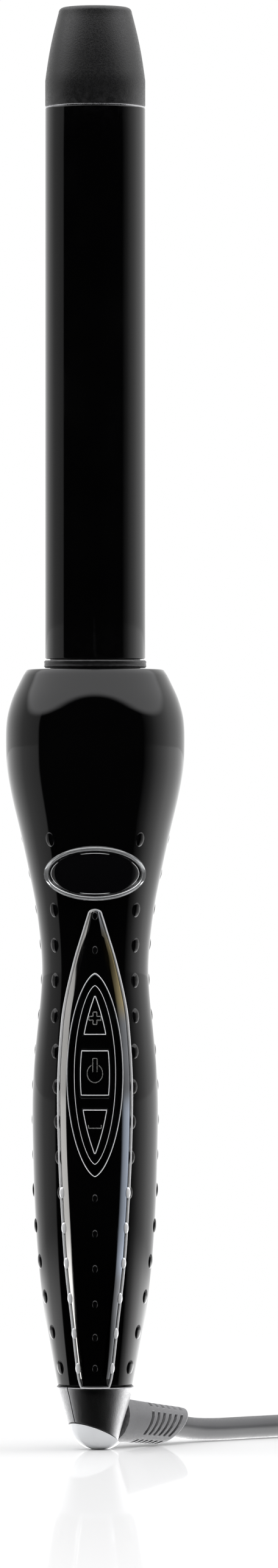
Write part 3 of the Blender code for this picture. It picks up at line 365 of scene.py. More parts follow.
plated = {"bump": 0.02, "depth": 0.01, "polished": True}
finishes = {
    "gloss_black": makeFinish("glossBlack", (0.0006, 0.0006, 0.0007), (0.0012, 0.0012, 0.0013), (0.04, 0.09),
                              bump=0.03, depth=0.01, wearAndHighlight=(0.004, 0.004, 0.0045), polished=True),
    "barrel_coat": makeFinish("barrelCoat", (0.0005, 0.0005, 0.0006), (0.0011, 0.0011, 0.0012), (0.07, 0.12),
                              grain=5200.0, bump=0.05, depth=0.012, wearAndHighlight=(0.006, 0.006, 0.0065), polished=True),
    "matte_charcoal": makeFinish("sparkCharcoal", (0.003, 0.003, 0.0033), (0.0055, 0.0055, 0.006), (0.34, 0.46),
                                 grain=2600.0, bump=0.5, depth=0.05, wearAndHighlight=(0.03, 0.03, 0.032),
                                 Specular_IOR_Level=0.75),
    # partly painted reflection: this chrome is only about a third metal, so its white base shows as diffuse
    # white that stands in for the bright studio it reflects
    "chrome": makeFinish("brightPlate", (0.92, 0.93, 0.94), (0.97, 0.97, 0.98), (0.08, 0.15),
                         metallic=0.35, **plated),
    "smoked_lens": makeFinish("smokedLens", (0.0018, 0.0018, 0.0022), (0.0026, 0.0026, 0.003), (0.02, 0.05),
                              bump=0.01, depth=0.01, polished=True),
    "grey_rubber": makeFinish("strainRubber", (0.15, 0.15, 0.155), (0.2, 0.2, 0.205), (0.5, 0.64),
                              grain=2200.0, bump=0.25, depth=0.03, wearAndHighlight=(0.3, 0.3, 0.305)),
    "cord_grey": makeFinish("cordSheath", (0.07, 0.07, 0.073), (0.095, 0.095, 0.099), (0.3, 0.42),
                            grain=1600.0, drift=22.0, bump=0.12, depth=0.03),
    "aluminium": makeFinish("extrudedAluminium", (0.6, 0.61, 0.62), (0.74, 0.75, 0.76), (0.28, 0.42),
                            grain=1800.0, bump=0.1, metallic=1.0),
    "steel": makeFinish("zincSteel", (0.45, 0.45, 0.47), (0.6, 0.6, 0.61), (0.22, 0.36),
                        grain=2200.0, bump=0.1, metallic=1.0, wearAndHighlight=(0.75, 0.75, 0.76)),
    "brass": makeFinish("contactBrass", (0.66, 0.48, 0.2), (0.82, 0.62, 0.28), (0.2, 0.32),
                        grain=2000.0, bump=0.06, metallic=1.0, wearAndHighlight=(0.9, 0.75, 0.45)),
    "ceramic": makeFinish("unglazedCeramic", (0.7, 0.67, 0.6), (0.82, 0.8, 0.74), (0.55, 0.7),
                          grain=1900.0, bump=0.2),
    "board_green": makeFinish("solderMask", (0.012, 0.11, 0.05), (0.025, 0.18, 0.08), (0.35, 0.5),
                              grain=900.0, drift=260.0, bump=0.2, depth=0.04),
    "part_black": makeFinish("partMoulding", (0.02, 0.02, 0.02), (0.035, 0.035, 0.035), (0.45, 0.6),
                             grain=2400.0, bump=0.2),
    "film_yellow": makeFinish("filmYellow", (0.62, 0.42, 0.05), (0.78, 0.58, 0.1), (0.35, 0.5), bump=0.1),
    "silicone": makeFinish("keySilicone", (0.42, 0.42, 0.42), (0.52, 0.52, 0.52), (0.6, 0.72), bump=0.15),
    "lead_white": makeFinish("leadWhite", (0.68, 0.68, 0.65), (0.78, 0.78, 0.76), (0.45, 0.6), bump=0.1),
    "end_white": makeFinish("endPlatePearl", (0.9, 0.92, 0.94), (0.95, 0.96, 0.97), (0.1, 0.18),
                            **plated),
}
# painted reflection: the panel's flanks use two copies of one plated metal, a bright one on the left flank and
# a dark one on the right, standing in for the white studio and the darker room each side reflects
paintedLitFlank = makeFinish("paintedLitFlank", (0.84, 0.825, 0.8), (0.92, 0.905, 0.88), (0.08, 0.15),
                       metallic=1.0, **plated)
ringPlate = makeFinish("ringPlate", (0.9, 0.91, 0.92), (0.95, 0.96, 0.97), (0.05, 0.1),
                       metallic=0.8, **plated)
# the second of these is the dark copy for the right flank: painted shade
smokedRim, paintedShadedFlank = (
    makeFinish(name, (0.2, 0.205, 0.215), (0.29, 0.3, 0.32), (0.08, 0.15), drift=45.0, metallic=1.0, **plated)
    for name in ("smokedRim", "paintedShadedFlank"))


def paintReflectionBands(made, bands):  # painted reflection: warm and cool tones over stretches of height, standing in for coloured light reflected there
    tree = made.node_tree
    socket = tree.nodes["Principled BSDF"].inputs["Base Color"]
    source = socket.links[0].from_socket
    place = addNode(tree, "ShaderNodeTexCoord").outputs["Object"]
    height = addNode(tree, "ShaderNodeSeparateXYZ", {"Vector": place}).outputs["Z"]
    for low, high, soft, colour in bands:
        rise = ranged(tree, height, low * mm, (low + soft) * mm, 0.0, 1.0)
        fall = ranged(tree, height, (high - soft) * mm, high * mm, 1.0, 0.0)
        source = tint(tree, mathNode(tree, "MULTIPLY", rise, fall), source, colour)
    feed(tree, socket, source)


# painted reflection on the right flank: a pale blue band from 42 to 93 mm and a gold band from 108 to 134 mm
paintReflectionBands(paintedShadedFlank, [(42, 93, 8, (0.42, 0.47, 0.56)), (108, 134, 7, (0.5, 0.41, 0.22))])
knuckleBlack = makeFinish("knuckleBlack", (0.3, 0.3, 0.305), (0.38, 0.38, 0.385), (0.4, 0.52),
                          grain=2600.0, bump=0.5, depth=0.05, metallic=1.0, wearAndHighlight=(0.4, 0.4, 0.41))
keyPrint = makeFinish("keyPrint", (0.62, 0.62, 0.6), (0.74, 0.74, 0.72), (0.22, 0.34),
                      grain=3000.0, bump=0.05, metallic=0.8)

for entry in frame["record"]["subparts"]:
    slots = nodes[entry["node"]].data.materials
    slots.clear()
    slots.append(finishes[entry["material_slot"]])
print("materials ready")

cordSizes = {
    "radius": 2.9 * mm,
    "lead": [(16.9, 16.33, 5.18), (19.78, 19.1, 4.58), (22.3, 21.53, 4.02), (25.8, 24.7, 3.35),
             (31.0, 29.0, 2.98), (38.5, 35.0, 2.95), (47.3, 41.4, 2.95), (54.2, 47.6, 2.95),
             (59.6, 53.2, 2.95), (64.3, 59.1, 2.95), (72.4, 67.5, 2.95)],
    "tail": [(138.6, 76.0, 20.95), (141.4, 70.5, 22.2), (143.4, 65.5, 24.3), (144.0, 61.5, 25.4),
             (144.0, 57.5, 25.5), (144.0, 53.5, 25.5)],
    "centre": (111.0, 46.5),
    "columns": [42.1, 36.3, 30.5, 24.7, 24.7, 30.5, 36.3, 42.1, 42.1, 36.3],
    "layers": [2.95, 2.95, 2.95, 2.95, 8.75, 8.75, 8.75, 8.75, 14.55, 14.55],
    "top": (39.0, 20.4), "leave": (40.4, 20.8),
    "startAngle": 137.0,
    "step": 0.16, "stepOut": 0.84, "stepUp": 0.74,
    "perTurn": 48,
    "length": 2.344,            # metres
}


def coilPoints(sizes):  # turns side by side and layer on layer, each stepping to the next
    cx, cy = sizes["centre"]
    columns, layers = sizes["columns"] + [sizes["top"][0]], sizes["layers"] + [sizes["top"][1]]
    points = []

    def add(share, radius, height):
        angle = radians(sizes["startAngle"]) - whole * share
        points.append((cx + radius * cos(angle), cy + radius * sin(angle), height))

    for turn in range(len(sizes["columns"])):
        for k in range(sizes["perTurn"]):
            f = k / sizes["perTurn"]
            add(f, between(columns[turn], columns[turn + 1], smooth((f - sizes["stepOut"]) / sizes["step"])),
                between(layers[turn], layers[turn + 1], smooth((f - sizes["stepUp"]) / sizes["step"])))
    last = 10
    for k in range(last):
        radius, height = (between(a, b, smooth(k / last)) for a, b in zip(sizes["top"], sizes["leave"]))
        add(k / sizes["perTurn"], radius, height)
    return points


def makeCord():
    coil = coilPoints(cordSizes)
    lead = smoothPath(cordSizes["lead"] + coil[:1], 3.0)
    path = [p * mm for p in lead + [Vector(p) for p in coil[1:]] + smoothPath(cordSizes["tail"], 2.0)]
    data = bpy.data.curves.new("mainsCord", "CURVE")
    data.dimensions = "3D"
    data.bevel_depth = cordSizes["radius"]
    data.bevel_resolution = 5
    data.use_fill_caps = True
    spline = data.splines.new("POLY")
    spline.points.add(len(path) - 1)
    for point, at in zip(spline.points, path):
        point.co = (*at, 1.0)
    spline.use_smooth = True
    piece = linked("mains_cord_run", data, "cord_grey")
    put(piece, "swivel", "cord_grey", "mains_cord", "cord_coil", "cord_tail")
    print("cord length", round(sum((b - a).length for a, b in zip(path, path[1:])), 4))
    return piece


cordRun = makeCord()

handle = {
    "low": 16.5 * mm,
    "length": 181.7 * mm,
    "wall": 2.0 * mm,
    "seam": 0.15 * mm,          # half the gap between the shells
    "mouth": 14.0 * mm,         # where the top face and the foot face meet the bores
    "throat": 11.7 * mm,
    "sole": 7.6 * mm,
    "socket": 5.3 * mm,
    "lip": 2.3 * mm,            # thickness of both faces
    "steps": 60,                # around each shell
    "rows": 150,
    "outline": [(0.0, 9.9), (0.035, 11.1), (0.086, 12.6), (0.162, 14.3), (0.238, 15.3), (0.315, 15.8),
                (0.39, 16.0), (0.441, 15.65), (0.492, 14.8), (0.543, 13.85), (0.581, 13.55),
                (0.619, 13.95), (0.67, 15.15), (0.721, 17.0), (0.771, 19.0), (0.822, 21.2),
                (0.859, 22.35), (0.898, 22.7), (0.931, 22.4), (0.958, 21.1), (0.98, 19.3),
                (0.995, 17.9), (1.0, 17.2)],
}
handleTop = handle["low"] + handle["length"]


def handleRadius(z):  # radius of the outside at a height, on a smooth curve through the outline
    rows = handle["outline"]
    share = min(max((z - handle["low"]) / handle["length"], 0.0), 1.0)
    last = len(rows) - 1
    i = max(k for k in range(last) if rows[k][0] <= share)

    def slope(k):
        a, b = rows[max(k - 1, 0)], rows[min(k + 1, last)]
        return (b[1] - a[1]) / (b[0] - a[0])

    (s0, r0), (s1, r1) = rows[i], rows[i + 1]
    width = s1 - s0
    t = (share - s0) / width
    radius = ((2 * t ** 3 - 3 * t ** 2 + 1) * r0 + (t ** 3 - 2 * t ** 2 + t) * width * slope(i)
              + (3 * t ** 2 - 2 * t ** 3) * r1 + (t ** 3 - t ** 2) * width * slope(i + 1))
    return radius * mm


def onHandle(x, z, lift):  # the point of the handle's front behind (x, z), lifted off the surface
    radius = handleRadius(z) + lift
    return Vector((x, -sqrt(max(radius ** 2 - x ** 2, 0.0)), z))


def slopeAt(z):
    step = 0.2 * mm
    return (handleRadius(z + step) - handleRadius(z - step)) / (2 * step)


def outward(x, z):  # the surface's own direction there
    share = x / handleRadius(z)
    return Vector((share, -sqrt(max(1 - share ** 2, 0.0)), -slopeAt(z))).normalized()


barrel = {"radius": 12.7, "wall": 1.0, "low": 200.7, "high": 340.7, "edge": 0.3,
          "ring": [(11.9, 340.6), (11.9, 341.05), (12.62, 341.05), (12.62, 340.6)]}
tip = {"low": 341.0, "straight": 6.6, "high": 366.2, "endRadius": 9.3, "round": 1.3, "bow": 0.35,
       "skirt": [(11.4, 341.0), (11.4, 336.0), (9.2, 336.0), (9.2, 341.0), (7.1, 360.2), (0.0, 360.2)]}
collar = {"low": 198.5, "high": 200.4, "radius": 12.95, "bore": 9.0, "neck": 11.4, "tail": 182.0, "top": 212.0}


def makeBarrel():
    outer, inner = barrel["radius"], barrel["radius"] - barrel["wall"]
    low, high = barrel["low"], barrel["high"]
    rows = [(outer, between(high, low, k / 12)) for k in range(13)]
    profile = softProfile([(inner, high)] + rows + [(inner, low)], barrel["edge"], 3)
    put(turned("barrel_skin", profile, "barrel_coat", 144), "wand", "barrel_coat", "barrel_tube")
    ring = softProfile(barrel["ring"], 0.1, 3)  # bare metal where the coating stops
    put(turned("tip_joint_ring", ring, "steel", 144), "wand", "steel")


def makeTip():
    radius, low = barrel["radius"], tip["low"]
    shoulder, top, end, soft = low + tip["straight"], tip["high"], tip["endRadius"], tip["round"]
    outer = [(0.0, top), (end * 0.5, top)]
    for k in range(7):
        a = pi / 2 * k / 6
        outer.append((end - soft + soft * sin(a), top - soft + soft * cos(a)))
    for k in range(1, 10):
        t = k / 9
        bow = tip["bow"] * sin(pi * t)
        outer.append((between(end, radius, t) + bow, between(top - soft, shoulder, t)))
    outer += [(radius, shoulder - 1.2), (radius, low + 0.35), (radius - 0.1, low + 0.1), (radius - 0.35, low)]
    piece = turned("cool_tip_skin", outer + tip["skirt"], "matte_charcoal", 128, sharp=50)
    put(piece, "wand", "matte_charcoal", "cool_tip")


def makeCollar():
    low, high, radius = collar["low"], collar["high"], collar["radius"]
    bore, neck, tail, top = collar["bore"], collar["neck"], collar["tail"], collar["top"]
    half = [(0.3, 0.0), (0.0, 0.3), (0.0, 0.55), (0.05, 0.7)]
    flange = [(radius - a, high - b) for a, b in half] + [(radius - a, low + b) for a, b in reversed(half)]
    profile = [(neck, top), (neck, high)] + flange + [(neck, low), (neck, tail), (bore, tail), (bore, top)]
    piece = turned("collar_skin", profile, "matte_charcoal", 128)
    put(piece, "wand", "matte_charcoal", "barrel_collar")


makeBarrel()
makeTip()
makeCollar()
print("barrel, tip and collar ready")


def shellProfile():  # outer points from the top down, and the inner point that faces each of them
    low, top, wall = handle["low"], handleTop, handle["wall"]
    throat, socket, lip, rim = handle["throat"], handle["socket"], handle["lip"], handleRadius(top)
    outer = [(handle["mouth"], top), (rim - 0.9 * mm, top), (rim - 0.25 * mm, top - 0.08 * mm)]
    inner = [(throat, top), (throat, top - 0.8 * mm), (throat, top - 1.6 * mm)]
    for k in range(handle["rows"] + 1):
        z = between(top - 0.35 * mm, low + 0.25 * mm, k / handle["rows"])
        radius = handleRadius(z)
        outer.append((radius, z))
        deep = min(max(z, low + lip + 0.1 * mm), top - lip)
        inner.append((min(radius, handleRadius(deep)) - wall, deep + (z - deep) * 0.01))
    outer += [(handleRadius(low) - 0.3 * mm, low), (handle["sole"], low)]
    inner += [(socket, low + lip), (socket, low)]
    return outer, inner


def makeShell(name, node, start):
    outer, inner = shellProfile()
    steps = handle["steps"]
    soft = [(0.0, 0.26 * mm), (0.0025, 0.1 * mm), (0.008, 0.03 * mm), (0.02, 0.0)]
    shares = [s for s, _ in soft] + [between(0.02, 0.98, k / steps) for k in range(1, steps)]
    shares += [1 - s for s, _ in reversed(soft)]
    bm = bmesh.new()
    rows = []
    for share in shares:
        sink = table(soft, min(share, 1 - share))
        row = []
        for line, deep in ((outer, sink), (inner[::-1], 0.0)):
            for radius, z in line:
                lean = asin(handle["seam"] / radius)
                angle = start + between(lean, pi - lean, share)
                reach = radius - deep
                row.append(bm.verts.new((reach * cos(angle), reach * sin(angle), z)))
        rows.append(row)
    bridge(bm, rows)
    for row in (rows[0], rows[-1]):                 # the two faces that meet at the seam
        for k in range(len(outer) - 1):
            bm.faces.new((row[k], row[k + 1], row[-2 - k], row[-1 - k]))
    piece = linked(name, meshFrom(name, bm, 40.0), "gloss_black")
    return put(piece, "wand", "gloss_black", node)


screws = {"places": [("upper", 171.5, 19.0), ("lower", 54.0, 13.5)], "seat": 6.3, "hole": 2.9, "head": 2.6,
          "rise": 1.8, "shank": 1.4, "floor": 8.5, "outside": 60, "threadEnd": -6.5, "point": -7.5}


def alongY(z):
    return Matrix.Translation((0, 0, z * mm)) @ Matrix.Rotation(radians(-90), 4, "X")


def makeShells():
    makeShell("front_shell_skin", "front_shell", pi)
    rear = makeShell("rear_shell_skin", "rear_shell", 0.0)
    hole, head, seat = screws["hole"], screws["head"], screws["seat"]
    shank, floor, outside, top = screws["shank"], screws["floor"], screws["outside"], seat + screws["rise"]
    bore = [(0, outside), (hole, outside), (hole, floor), (0, floor)]
    cutFrom(rear, [turned("well", bore, "gloss_black", 40, place=alongY(z)) for _, z, _ in screws["places"]])
    for level, z, out in screws["places"]:
        profile = [(0, top), (head * 0.5, top - 0.05), (head * 0.85, top - 0.3), (head, top - 0.8),
                   (head, seat), (shank, seat), (shank, screws["threadEnd"]), (0, screws["point"])]
        screw = turned("shell_screw_head_" + level, profile, "steel", 40, place=alongY(z))
        cross = []
        for turn in (0, 90):
            bm = bmesh.new()
            bmesh.ops.create_cube(bm, size=1.0)
            for vert in bm.verts:                   # the slots narrow on their way down
                long, high = (1.6, top - 1.3) if vert.co.z < 0 else (3.0, top + 0.5)
                vert.co = Vector((vert.co.x * long, vert.co.y * 0.6, high)) * mm
            arm = linked("crossArm", meshFrom("crossArm", bm), "steel")
            arm.data.transform(alongY(z) @ Matrix.Rotation(radians(turn + 20), 4, "Z"))
            cross.append(arm)
        put(cutFrom(screw, cross), "wand", "steel", "shell_screw_" + level)
        sleeve = [(hole, out), (hole, seat), (hole + 0.5, seat), (hole + 0.5, out)]
        liner = turned("shell_screw_well_" + level, sleeve, "gloss_black", 40, place=alongY(z))
        put(liner, "wand", "gloss_black")


makeShells()
print("handle shells ready")


def patch(name, halfWidth, low, high, liftAt, under, finish,
          rows=60, columns=14, rim=0.4 * mm, faceFinish=None):  # a closed pad on the handle's front
    edgeSteps = [0.0, 0.08, 0.2, 0.4, 0.7]
    heights = [low + s * rim for s in edgeSteps]
    heights += [between(low + rim, high - rim, k / rows) for k in range(rows + 1)]
    heights += [high - s * rim for s in reversed(edgeSteps)]
    loops, distances = [], []
    for z in heights:
        half = max(halfWidth(z), 0.02 * mm)
        reach = min(rim, half * 0.6)
        side = [half - s * reach for s in edgeSteps] + [half - reach]
        middle = [between(side[-1], -side[-1], k / columns) for k in range(1, columns)]
        line = side + middle + [-x for x in reversed(side)]
        gaps = [min(half - abs(x), z - low, high - z) for x in line]
        loops.append([onHandle(x, z, liftAt(gap, z)) for x, gap in zip(line, gaps)]
                     + [onHandle(x, z, under) for x in reversed(line)])
        distances.append(gaps)

    def pick(i, k):
        return faceFinish(distances[i][k], heights[i], loops[i][k].x) if k < len(distances[i]) else 0

    return fromLoops(name, loops, finish, sharp=30, faceFinish=pick if faceFinish else None)


def stripe(name, line, section, finish, closed=True, lift=0.0):  # sweep (across, up) points along (x, z) points
    knots = [Vector((x, 0, z)) for x, z in line]
    points = []
    for a, b in zip(knots, knots[1:] + knots[:1] if closed else knots[1:]):
        count = max(1, ceil((b - a).length / (0.6 * mm)))
        points += [a.lerp(b, k / count) for k in range(count)]
    if not closed:
        points.append(knots[-1])
    count = len(points)
    loops = []
    for k, point in enumerate(points):
        before = points[k - 1] if closed or k else point
        after = points[(k + 1) % count] if closed or k < count - 1 else point
        along = (onHandle(after.x, after.z, lift) - onHandle(before.x, before.z, lift)).normalized()
        up = outward(point.x, point.z)
        across = up.cross(along).normalized()
        base = onHandle(point.x, point.z, lift)
        loops.append([base + across * u + up * v for u, v in section])
    return fromLoops(name, loops, finish, cyclic=closed)


def bead(width, low, high, count=10):  # cross-section of a stripe: flat below, domed above
    arc = [(width / 2 * cos(pi * k / count), between(low, high, sin(pi * k / count) ** 0.7))
           for k in range(count + 1)]
    return arc + [(-width / 2, low - 0.2 * mm), (width / 2, low - 0.2 * mm)]


def brightLine(name, body, line, wide, low, high, lift):  # a hairline of bright metal, domed above
    put(stripe(name, line, bead(wide, low, high, 6), "chrome", lift=lift), body, "chrome")


def lensEdge(half, z):
    radius = (half[0] ** 2 + half[1] ** 2) / (2 * half[0])
    return sqrt(max(radius ** 2 - z ** 2, 0.0)) - radius + half[0]


def fullEdge(half, z):  # a fuller oval, with rounder ends
    return half[0] * max(1 - (z / half[1]) ** 2, 0.0) ** 0.65


def ovalOutline(half, middle, count=64):
    steps = [half[1] * sin(pi * (k / count - 0.5)) for k in range(count + 1)]
    right = [(fullEdge(half, z), middle + z) for z in steps]
    low, high = [(0.0, right[0][1])], [(0.0, right[-1][1])]
    return right[1:-1] + high + [(-x, z) for x, z in reversed(right[1:-1])] + low


def pointedOval(half, low, high, middle, grow=0.0, count=40):  # part of a pointed oval, as (x, z) points
    steps = [between(low, high, k / count) for k in range(count + 1)]
    right = [(max(lensEdge(half, z), 0.0) + grow, z) for z in steps]
    right[0], right[-1] = (right[0][0], low - grow), (right[-1][0], high + grow)
    return [(x, middle + z) for x, z in right] + [(-x, middle + z) for x, z in reversed(right)]


display = {
    "z": 146.4 * mm, "half": (12.8 * mm, 6.85 * mm), "band": 1.05 * mm, "lens": 0.6 * mm,
    "ring": [(-0.52, 0.0), (-0.52, 0.7), (-0.46, 0.95), (-0.36, 1.08), (-0.24, 1.04), (-0.12, 0.72),
             (0.04, 0.56), (0.2, 0.56), (0.3, 0.78), (0.4, 0.9), (0.49, 0.8), (0.52, 0.6), (0.52, 0.0)],
}


def ovalLine(half, z, count=120):
    turns = [whole * k / count for k in range(count)]
    return [(half[0] * cos(turn), z + half[1] * sin(turn)) for turn in turns]


def makeDisplay():
    z, (halfWide, halfTall), band = display["z"], display["half"], display["band"]
    low, flat, step = 0.3 * mm, 0.5 * mm, 0.35 * mm
    section = [(u * mm, (v - 0.55) * mm) for u, v in display["ring"]]
    piece = stripe("display_ring", ovalLine((halfWide - band / 2, halfTall - band / 2), z), section, ringPlate,
                   lift=0.55 * mm)
    put(piece, "wand", "chrome", "display_bezel")
    inner = (halfWide - band - 0.05 * mm, halfTall - band - 0.05 * mm)

    def lensWidth(height):
        return inner[0] * sqrt(max(1 - ((height - z) / inner[1]) ** 2, 0.0))

    def lensLift(gap, height):
        if gap < flat:
            return between(0.12 * mm, low, gap / flat)
        return between(low, display["lens"], smooth((gap - flat) / step))

    piece = patch("display_glass", lensWidth, z - inner[1], z + inner[1], lensLift, -0.6 * mm,
                  "smoked_lens", rows=46, columns=30, rim=1.0 * mm)
    put(piece, "wand", "smoked_lens", "display_lens")
    line = ovalLine((inner[0] - 0.62 * mm, inner[1] - 0.62 * mm), z)
    brightLine("display_glass_edge", "wand", line, 0.16 * mm, -0.05 * mm, 0.06 * mm, 0.5 * mm)


makeDisplay()

keypad = {
    "z": 95.6 * mm, "outer": (7.05 * mm, 25.6 * mm), "plate": (5.05 * mm, 22.2 * mm),
    "field": (3.8 * mm, 20.5 * mm), "rimHigh": 1.62 * mm, "rimLow": 1.15 * mm, "plateLift": 1.1 * mm,
    "crown": 1.6 * mm,
    "buttons": {"minus": (-20.1 * mm, -8.5 * mm), "power": (-5.4 * mm, 6.4 * mm),
                "plus": (9.9 * mm, 20.1 * mm)},
}
panel = {
    "low": 16.0 * mm, "top": 137.5 * mm, "edge": 0.42 * mm, "rise": 1.3 * mm, "flank": 2.1 * mm,
    "trimWidth": 0.4 * mm,
    "trim": [(-0.2, 0.0), (-0.2, 0.62), (-0.12, 0.76), (0.0, 0.8), (0.12, 0.76), (0.2, 0.62), (0.2, 0.0)],
    "sides": [(16.0, 3.5), (20.2, 4.45), (33.1, 5.85), (47.4, 7.4), (65.8, 8.55), (80.0, 9.1), (94.0, 9.2),
              (106.2, 8.5), (113.7, 7.6), (123.8, 5.4), (131.0, 3.35), (136.4, 1.75)],
}
panelEdge = smoothPath([(x * mm, 0, z * mm) for z, x in panel["sides"]], 1.0 * mm)


def panelWidth(z):  # half width of the panel's outline at a height, with its round top
    corner = panelEdge[-1]
    if z >= corner.z:
        rise = (z - corner.z) / (panel["top"] - corner.z)
        return corner.x * sqrt(max(1 - rise ** 2, 0.0))
    return table([(p.z, p.x) for p in panelEdge], z)


def panelLine(inset):  # the panel's outline drawn in by an inset, as (x, z) points
    right = [(p.x - inset, max(p.z, panel["low"] + inset)) for p in panelEdge]
    corner, top = right[-1], panel["top"] - inset
    arc = [(corner[0] * cos(pi * k / 12), corner[1] + (top - corner[1]) * sin(pi * k / 12))
           for k in range(1, 12)]
    return right + arc + [(-x, z) for x, z in reversed(right)]


def windowCutter(outline):  # a prism that opens what lies behind an outline of (x, z)
    loops = [[(x, y * mm, z) for x, z in outline] for y in (-40.0, -4.0)]
    return fromLoops("cutter", loops, "gloss_black")


def makePanel():
    trim = panel["trimWidth"]
    line = panelLine(trim / 2)
    bottom = [(between(line[-1][0], line[0][0], k / 6), line[0][1]) for k in range(1, 6)]
    section = [(u * mm, v * mm) for u, v in panel["trim"]]
    piece = stripe("panel_edge_line", line + bottom, section, "chrome")
    put(piece, "wand", "chrome", "panel_trim")
    inset = trim + 0.02 * mm
    edge, rise = panel["edge"], panel["rise"]
    climb = [(0.0, edge), (0.06, edge + 0.1 * mm), (0.9, rise - 0.05 * mm), (1.0, rise - 0.01 * mm),
             (1.15, rise)]

    def width(z):
        return panelWidth(z) - inset

    def flankAt(z):
        return min(panel["flank"], 0.42 * width(z))

    def lift(gap, z):
        return table(climb, gap / flankAt(z))

    # painted reflection: flank faces take the bright copy on the left side and the dark copy on the right side
    def shade(gap, z, x):
        if gap > flankAt(z) * 0.92 or z < panel["low"] + 2.0 * mm:
            return 0
        return 1 if x < 0 else 2

    piece = patch("control_panel_skin", width, panel["low"] + inset, panel["top"] - inset, lift, -0.3 * mm,
                  ["gloss_black", paintedLitFlank, paintedShadedFlank], rows=170, columns=34, rim=2.1 * mm,
                  faceFinish=shade)
    window = ovalOutline([size - 0.35 * mm for size in keypad["outer"]], keypad["z"])
    put(cutFrom(piece, [windowCutter(window)]), "wand", "gloss_black", "control_panel")


makePanel()


def ringPatch(name, outerLine, innerLine, lifts, finish):  # a band between two outlines; lifts run across it
    loops = []
    for (ax, az), (bx, bz) in zip(outerLine, innerLine):
        top = [onHandle(between(ax, bx, s), between(az, bz, s), lift) for s, lift in lifts]
        loops.append(top + [onHandle(bx, bz, 0.6 * mm), onHandle(ax, az, 0.6 * mm)])
    return fromLoops(name, loops, finish, cyclic=True, sharp=30)


def keyWindows(grow):
    return [windowCutter(pointedOval(keypad["field"], low, high, keypad["z"], grow))
            for low, high in keypad["buttons"].values()]


def makeKeypad():
    z, field, plate = keypad["z"], keypad["field"], keypad["plate"]
    inner = (plate[0] + 0.15 * mm, plate[1] + 0.3 * mm)
    outerLine, innerLine = ovalOutline(keypad["outer"], z), ovalOutline(inner, z)
    high, low = keypad["rimHigh"], keypad["rimLow"]
    lifts = [(0.0, 1.25 * mm), (0.03, high - 0.12 * mm), (0.1, high), (0.2, high - 0.04 * mm),
             (0.45, high - 0.2 * mm), (0.75, low + 0.03 * mm), (1.0, low)]
    put(ringPatch("keypad_rim", outerLine, innerLine, lifts, smokedRim), "wand", "gloss_black", "keypad_bezel")
    brightLine("keypad_rim_line", "wand", outerLine, 0.2 * mm, -0.1 * mm, 0.16 * mm, 1.5 * mm)
    brightLine("keypad_plate_line", "wand", innerLine, 0.18 * mm, -0.06 * mm, 0.14 * mm, 1.1 * mm)

    def plateWidth(height):
        return fullEdge(inner, height - z)

    def plateLift(gap, height):
        return keypad["plateLift"]

    def keyWidth(height):
        return max(lensEdge(field, height - z), 0.05 * mm)

    def keyLift(gap, height):
        edge = 0.3 * mm
        gap = min(gap, edge)
        return keypad["crown"] - edge + sqrt(max(edge ** 2 - (edge - gap) ** 2, 0.0))

    piece = patch("keypad_plate_skin", plateWidth, z - inner[1], z + inner[1], plateLift, 0.3 * mm,
                  "gloss_black", rows=50, columns=16)
    put(cutFrom(piece, keyWindows(0.12 * mm)), "wand", "gloss_black", "keypad_plate")
    cutFrom(bpy.data.objects["front_shell_skin"], keyWindows(0.2 * mm))
    for key, (low, high) in keypad["buttons"].items():
        body = key + "_button"
        piece = patch(key + "_key", keyWidth, z + low, z + high, keyLift, 0.4 * mm, "gloss_black",
                      rows=30, columns=14, rim=0.5 * mm)
        put(piece, body, "gloss_black", body)
        line = pointedOval(field, low + 0.18 * mm, high - 0.18 * mm, z, -0.16 * mm)
        brightLine(key + "_key_line", body, line, 0.24 * mm, -0.08 * mm, 0.14 * mm, 1.52 * mm)


def strokes(name, body, lines, width=0.26 * mm):  # raised print on a key: narrow strokes joined in one piece
    bm = bmesh.new()
    for points, closed in lines:
        part = stripe("stroke", points, bead(width, 0.0, 0.08 * mm, 4), keyPrint, closed, keypad["crown"])
        bm.from_mesh(part.data)
        bpy.data.objects.remove(part, do_unlink=True)
    put(linked(name, meshFrom(name, bm), keyPrint), body, "chrome")


def softLine(points, middle, radius, closed=False):
    knots = [(x * mm, 0, z * mm) for x, z in points]
    return [(p.x, middle * mm + p.z) for p in softened(knots, radius * mm, 3, closed)]


symbols = {"plus": 109.9, "minus": 82.2, "power": 96.0, "arc": (1.95, 2.3), "turn": (118, 422)}


def makeSymbols():
    a, b = 0.48, 1.55
    plus = [(a, a), (b, a), (b, -a), (a, -a), (a, -b), (-a, -b),
            (-a, -a), (-b, -a), (-b, a), (-a, a), (-a, b), (a, b)]
    strokes("plus_sign", "plus_button", [(softLine(plus, symbols["plus"], 0.16, True), True)])
    dash = [(-1.6, 0.85), (-1.6, 0.0), (1.6, 0.0), (1.6, 0.85)]
    strokes("minus_sign", "minus_button", [(softLine(dash, symbols["minus"], 0.14), False)])
    middle, (wide, tall) = symbols["power"], symbols["arc"]
    turns = [radians(between(*symbols["turn"], k / 40)) for k in range(41)]
    arc = [(wide * mm * cos(turn), (middle + tall * sin(turn)) * mm) for turn in turns]
    bar = [(-0.55, 0.4), (-0.55, 3.8), (0.55, 3.8), (0.55, 0.4)]
    strokes("power_sign", "power_button", [(arc, False), (softLine(bar, middle, 0.2), False)], 0.22 * mm)


makeKeypad()
makeSymbols()
print("display, panel and keypad ready")

